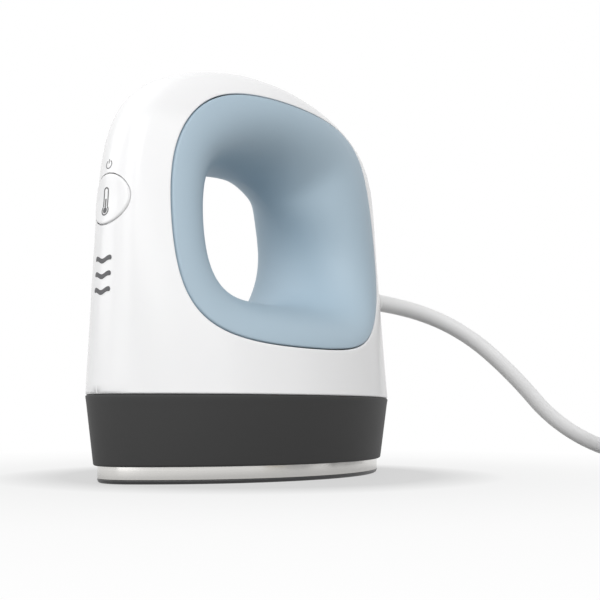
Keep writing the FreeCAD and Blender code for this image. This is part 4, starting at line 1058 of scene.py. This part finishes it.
def skirt():
    """The grey skirt: a lip inside, a rounded foot, a straight flare and a rounded top edge."""
    low_z = SKIRT_BOTTOM + SKIRT_FOOT_ROUND
    high_z = DECK_TOP - SKIRT_TOP_ROUND
    lean = (SKIRT_FLARE_TOP - SKIRT_FLARE_BOTTOM) / (DECK_TOP - SKIRT_BOTTOM)
    start = SKIRT_FLARE_BOTTOM + lean * SKIRT_FOOT_ROUND
    rings = [oval_ring(PLATE_CLEARANCE, SKIRT_BOTTOM + SKIRT_LIP), oval_ring(PLATE_CLEARANCE, SKIRT_BOTTOM)]
    rings += rolled(start, low_z, SKIRT_FOOT_ROUND, -QUARTER, 0)
    for step in range(1, SKIRT_STEPS):
        z = low_z + (high_z - low_z) * step / SKIRT_STEPS
        rings.append(oval_ring(SKIRT_FLARE_BOTTOM + lean * (z - SKIRT_BOTTOM), z))
    rings += rolled(SKIRT_FLARE_TOP, high_z, SKIRT_TOP_ROUND, 0, QUARTER)
    rings.append(oval_ring(SKIRT_FLARE_TOP - SEAM_DEPTH, DECK_TOP))
    thing = lofted("skirt_skin", rings, close_last=True)
    return dress(thing, DARK, "grey_skirt", "base_skirt")


def plate():
    """The plate's bright edge, with small rounded corners."""
    top = SKIRT_BOTTOM + PLATE_BEHIND_SKIRT
    rings = rolled(0, SOLE_TOP + PLATE_ROUND, PLATE_ROUND, -QUARTER, 0)
    rings += rolled(0, top - PLATE_ROUND, PLATE_ROUND, 0, QUARTER)
    rings.append(oval_ring(-PLATE_TOP_INSET, top))
    thing = lofted("plate_edge", rings, close_first=True, close_last=True)
    return dress(thing, PLATE, "plate_metal", "heat_plate")


def sole():
    """The dark coating: a bevel under the plate's edge and the flat sole."""
    rings = [oval_ring(offset, z) for offset, z in SOLE_PROFILE]
    thing = lofted("sole_skin", rings, close_first=True, close_last=True)
    return dress(thing, SOLE, "non_stick", "sole_coating")


skirt()
plate()
sole()


# ---------------------------------------------------------------- button and marks
BUTTON_PROUD = 0.2
BUTTON_ROUND = 0.35
BUTTON_DISH = 0.25
BUTTON_SIDE = 2.0
BUTTON_STEPS = 14


def button_x(y, z):
    """The button's face: the shell's own surface, a little proud and slightly dished."""
    spread = min(1.0, math.hypot(y, z - BUTTON_Z) / BUTTON_RADIUS)
    return shell_nose_x(y, z) - BUTTON_PROUD + BUTTON_DISH * (1 - spread ** 2) ** 2


def button():
    """The round cap, with a rounded edge and a straight side that goes into its hole."""
    reach = BUTTON_RADIUS - BUTTON_ROUND

    def ring_at(radius, sink=0.0):
        ring = []
        for step in range(AROUND):
            turn = 2 * math.pi * step / AROUND
            y = radius * math.cos(turn)
            z = BUTTON_Z + radius * math.sin(turn)
            ring.append(Vector((button_x(y, z) + sink, y, z)))
        return ring

    rings = [ring_at(reach * step / BUTTON_STEPS) for step in range(1, BUTTON_STEPS + 1)]
    for step in range(1, ROLL_STEPS + 1):
        roll = math.pi / 2 * step / ROLL_STEPS
        rings.append(ring_at(reach + BUTTON_ROUND * math.sin(roll), BUTTON_ROUND * (1 - math.cos(roll))))
    rings.append(ring_at(BUTTON_RADIUS, BUTTON_ROUND + BUTTON_SIDE))
    thing = lofted("button_cap", rings, close_first=True)
    return dress(thing, WHITE, "white_button", "power_button", body="button")


PRINT_PROUD = 0.03
WINDOW_PROUD = 0.05
ARC_STEPS = 40
BAR_STEPS = 12


def mark(name, shapes, surface, body, *nodes, proud=PRINT_PROUD):
    """Flat printed shapes, given as strips of (left, right) point pairs, laid on a surface."""
    mesh = bmesh.new()
    for strip in shapes:
        pairs = []
        for left, right in strip:
            verts = []
            for y, z in (left, right):
                verts.append(mesh.verts.new(Vector((surface(y, z) - proud, y, z)) * MM))
            pairs.append(verts)
        for first, second in zip(pairs, pairs[1:]):
            mesh.faces.new((first[0], second[0], second[1], first[1]))
    return dress(finish_mesh(name, mesh), PRINT, "dark_lens", *nodes, body=body)


def arc_strip(middle_z, radius, width, start, end):
    """A curved stroke round a middle, between two angles in turns."""
    strip = []
    for step in range(ARC_STEPS + 1):
        angle = 2 * math.pi * (start + (end - start) * step / ARC_STEPS)
        pair = []
        for reach in (radius - width / 2, radius + width / 2):
            pair.append((reach * math.cos(angle), middle_z + reach * math.sin(angle)))
        strip.append(tuple(pair))
    return strip


def bar_strip(y, low, high, width):
    """An upright stroke."""
    strip = []
    for step in range(BAR_STEPS + 1):
        z = low + (high - low) * step / BAR_STEPS
        strip.append(((y - width / 2, z), (y + width / 2, z)))
    return strip


THERMOMETER_BELOW = 3.4
THERMOMETER_ABOVE = 2.3
THERMOMETER_LINE = 0.3
TUBE_RADIUS = 0.62
TUBE_FOOT = 0.8
BULB_RADIUS = 0.95
BULB_FILL = 0.6
COLUMN_WIDTH = 0.4
COLUMN_TOP = 0.0


def thermometer():
    """A plain thermometer: an open tube over a filled bulb."""
    tube_z = BUTTON_Z + THERMOMETER_ABOVE - TUBE_RADIUS
    bulb_z = BUTTON_Z - THERMOMETER_BELOW + BULB_RADIUS
    opening = math.asin(TUBE_RADIUS / BULB_RADIUS) / (2 * math.pi)
    shapes = [
        arc_strip(tube_z, TUBE_RADIUS, THERMOMETER_LINE, 0, 0.5),
        bar_strip(-TUBE_RADIUS, bulb_z + TUBE_FOOT, tube_z, THERMOMETER_LINE),
        bar_strip(TUBE_RADIUS, bulb_z + TUBE_FOOT, tube_z, THERMOMETER_LINE),
        arc_strip(bulb_z, BULB_RADIUS, THERMOMETER_LINE, 0.25 + opening, 1.25 - opening),
        arc_strip(bulb_z, BULB_FILL / 2, BULB_FILL, 0, 1),
        bar_strip(0, bulb_z, BUTTON_Z + COLUMN_TOP, COLUMN_WIDTH),
    ]
    return mark("thermometer_mark", shapes, button_x, "button")


STANDBY_RADIUS = 0.85
STANDBY_LINE = 0.2
STANDBY_ARC = (0.33, 1.17)
STANDBY_BAR = (0.2, 1.15)


def standby_mark():
    """The usual power sign: an open ring and an upright bar."""
    low, high = STANDBY_BAR
    shapes = [
        arc_strip(STANDBY_Z, STANDBY_RADIUS, STANDBY_LINE, *STANDBY_ARC),
        bar_strip(0, STANDBY_Z + low, STANDBY_Z + high, STANDBY_LINE),
    ]
    return mark("standby_mark", shapes, shell_nose_x, BODY, "standby_lens")


WAVE_WIDTH = 5.0
WAVE_LENGTH = 3.9
WAVE_SWING = 0.32
WAVE_THICKNESS = 1.0
WAVE_END = 0.15
WAVE_TIP = 0.02
WAVE_STEPS = 48


def wave_mark(label, number):
    """One wave-shaped indicator window."""
    level = LEVEL_LOW_Z + number * LEVEL_PITCH
    strip = []
    for step in range(WAVE_STEPS + 1):
        share = 2 * step / WAVE_STEPS - 1
        y = WAVE_WIDTH / 2 * share
        swing = WAVE_SWING * math.cos(2 * math.pi * y / WAVE_LENGTH)
        into_end = max(0.0, (abs(share) - (1 - WAVE_END)) / WAVE_END)
        half = max(WAVE_TIP, WAVE_THICKNESS / 2 * math.sqrt(max(0.0, 1 - into_end ** 2)))
        strip.append(((y, level - swing + half), (y, level - swing - half)))
    node = f"level_lens_{label}"
    return mark(f"level_window_{label}", [strip], shell_nose_x, BODY, node, proud=WINDOW_PROUD)


button()
thermometer()
standby_mark()
for number, label in enumerate(("low", "medium", "high")):
    wave_mark(label, number)


# ---------------------------------------------------------------- floor, light and camera
WORLD_LIGHT = 0.40
LIGHTS = [
    ("left", 145, 25, 0.28),
    ("key", 210, 30, 0.29),
    ("low", 190, 12, 0.12),
    ("front", 240, 30, 0.28),
    ("right", 280, 30, 0.08),
]
SOFTBOX_SIZE = 0.6
SOFTBOX_DISTANCE = 0.9
LIGHT_AIM = Vector((0, 0, 0.045))
FLOOR_SIZE = 6
FLOOR_ROUGHNESS = 0.7
FLOOR_COLOUR = 0.20
# How much of the floor glows white, by distance from the object's middle: the low values close to the object
# paint a contact shadow, and the high ones fade the floor to white.
FLOOR_SHADOW_AND_FADE_STOPS = [(0.042, 0.58), (0.058, 0.86), (0.110, 0.95), (0.170, 1.0)]
FLOOR_STOPS_REACH = 0.2


def seen_by(nodes, links):
    """One for camera and mirror rays, which see the white surround, and zero for the light it gives."""
    ray = nodes.new("ShaderNodeLightPath")
    either = nodes.new("ShaderNodeMath")
    either.operation = "ADD"
    either.use_clamp = True
    links.new(ray.outputs["Is Camera Ray"], either.inputs[0])
    links.new(ray.outputs["Is Glossy Ray"], either.inputs[1])
    return either.outputs["Value"]


def floor():
    """A pale floor with a painted shadow: darker close to the object and fading to white behind it, with the
    object's real shadow kept in its diffuse share.
    """
    bpy.ops.mesh.primitive_plane_add(size=FLOOR_SIZE, location=(0, 0, 0))
    thing = bpy.context.object
    thing.name = "floor"
    made = bpy.data.materials.new("pale_floor")
    made.use_nodes = True
    nodes = made.node_tree.nodes
    links = made.node_tree.links
    shader = nodes["Principled BSDF"]
    shader.inputs["Base Color"].default_value = (FLOOR_COLOUR, FLOOR_COLOUR, FLOOR_COLOUR, 1)
    shader.inputs["Roughness"].default_value = FLOOR_ROUGHNESS
    glow = nodes.new("ShaderNodeEmission")
    glow.inputs["Color"].default_value = (1, 1, 1, 1)
    place = nodes.new("ShaderNodeTexCoord")
    distance = nodes.new("ShaderNodeVectorMath")
    distance.operation = "LENGTH"
    share = nodes.new("ShaderNodeMath")
    share.operation = "DIVIDE"
    share.use_clamp = True
    share.inputs[1].default_value = FLOOR_STOPS_REACH
    # Painted shadow close to the object, fading to white further off.
    shadow_and_fade = nodes.new("ShaderNodeValToRGB")
    shadow_and_fade.color_ramp.interpolation = "LINEAR"
    stops = shadow_and_fade.color_ramp.elements
    while len(stops) < len(FLOOR_SHADOW_AND_FADE_STOPS):
        stops.new(1.0)
    for stop, (away, white) in zip(stops, FLOOR_SHADOW_AND_FADE_STOPS):
        stop.position = away / FLOOR_STOPS_REACH
        stop.color = (white, white, white, 1)
    both = nodes.new("ShaderNodeMath")
    both.operation = "MULTIPLY"
    mix = nodes.new("ShaderNodeMixShader")
    links.new(place.outputs["Object"], distance.inputs[0])
    links.new(distance.outputs["Value"], share.inputs[0])
    links.new(share.outputs["Value"], shadow_and_fade.inputs["Fac"])
    links.new(shadow_and_fade.outputs["Color"], both.inputs[0])
    links.new(seen_by(nodes, links), both.inputs[1])
    links.new(both.outputs["Value"], mix.inputs["Fac"])
    links.new(shader.outputs["BSDF"], mix.inputs[1])
    links.new(glow.outputs["Emission"], mix.inputs[2])
    links.new(mix.outputs["Shader"], nodes["Material Output"].inputs["Surface"])
    thing.data.materials.append(made)


def world():
    """Plain studio surround: white where it is seen or mirrored, softer as light."""
    made = bpy.data.worlds.new("studio")
    scene.world = made
    made.use_nodes = True
    nodes = made.node_tree.nodes
    links = made.node_tree.links
    soft = nodes["Background"]
    soft.inputs["Color"].default_value = (1, 1, 1, 1)
    soft.inputs["Strength"].default_value = WORLD_LIGHT
    white = nodes.new("ShaderNodeBackground")
    white.inputs["Color"].default_value = (1, 1, 1, 1)
    white.inputs["Strength"].default_value = 1.0
    mix = nodes.new("ShaderNodeMixShader")
    links.new(seen_by(nodes, links), mix.inputs["Fac"])
    links.new(soft.outputs["Background"], mix.inputs[1])
    links.new(white.outputs["Background"], mix.inputs[2])
    links.new(mix.outputs["Shader"], nodes["World Output"].inputs["Surface"])


def softbox(name, azimuth, elevation, level):
    """A square area light on the object, its level one where it lights as a white surround would."""
    data = bpy.data.lights.new(name, "AREA")
    data.shape = "SQUARE"
    data.size = SOFTBOX_SIZE
    data.energy = level * (math.pi * SOFTBOX_DISTANCE) ** 2
    lamp = bpy.data.objects.new(name, data)
    turn = math.radians(azimuth)
    rise = math.radians(elevation)
    away = Vector((math.cos(turn) * math.cos(rise), math.sin(turn) * math.cos(rise), math.sin(rise)))
    lamp.location = LIGHT_AIM + away * SOFTBOX_DISTANCE
    lamp.rotation_euler = (-away).to_track_quat("-Z", "Y").to_euler()
    scene.collection.objects.link(lamp)


CAMERA_PLACE = Vector((-161.156, -152.883, 13.205)) * MM
CAMERA_HEADING = 0.86414
CAMERA_PITCH = 0.12264
PHOTO_FOCAL_PIXELS = 947.61
PHOTO_SIZE_PIXELS = 600
SENSOR = 36


def camera():
    """The photograph's viewpoint: low, close, and looking slightly up."""
    data = bpy.data.cameras.new("photo_camera")
    data.sensor_width = SENSOR
    data.lens = PHOTO_FOCAL_PIXELS / PHOTO_SIZE_PIXELS * SENSOR
    data.clip_start = 0.005
    data.clip_end = 20
    thing = bpy.data.objects.new("photo_camera", data)
    thing.location = CAMERA_PLACE
    thing.rotation_euler = (math.pi / 2 + CAMERA_PITCH, 0, -CAMERA_HEADING)
    scene.collection.objects.link(thing)
    scene.camera = thing


floor()
world()
for name, azimuth, elevation, level in LIGHTS:
    softbox(name, azimuth, elevation, level)
camera()
scene.view_settings.view_transform = "Standard"
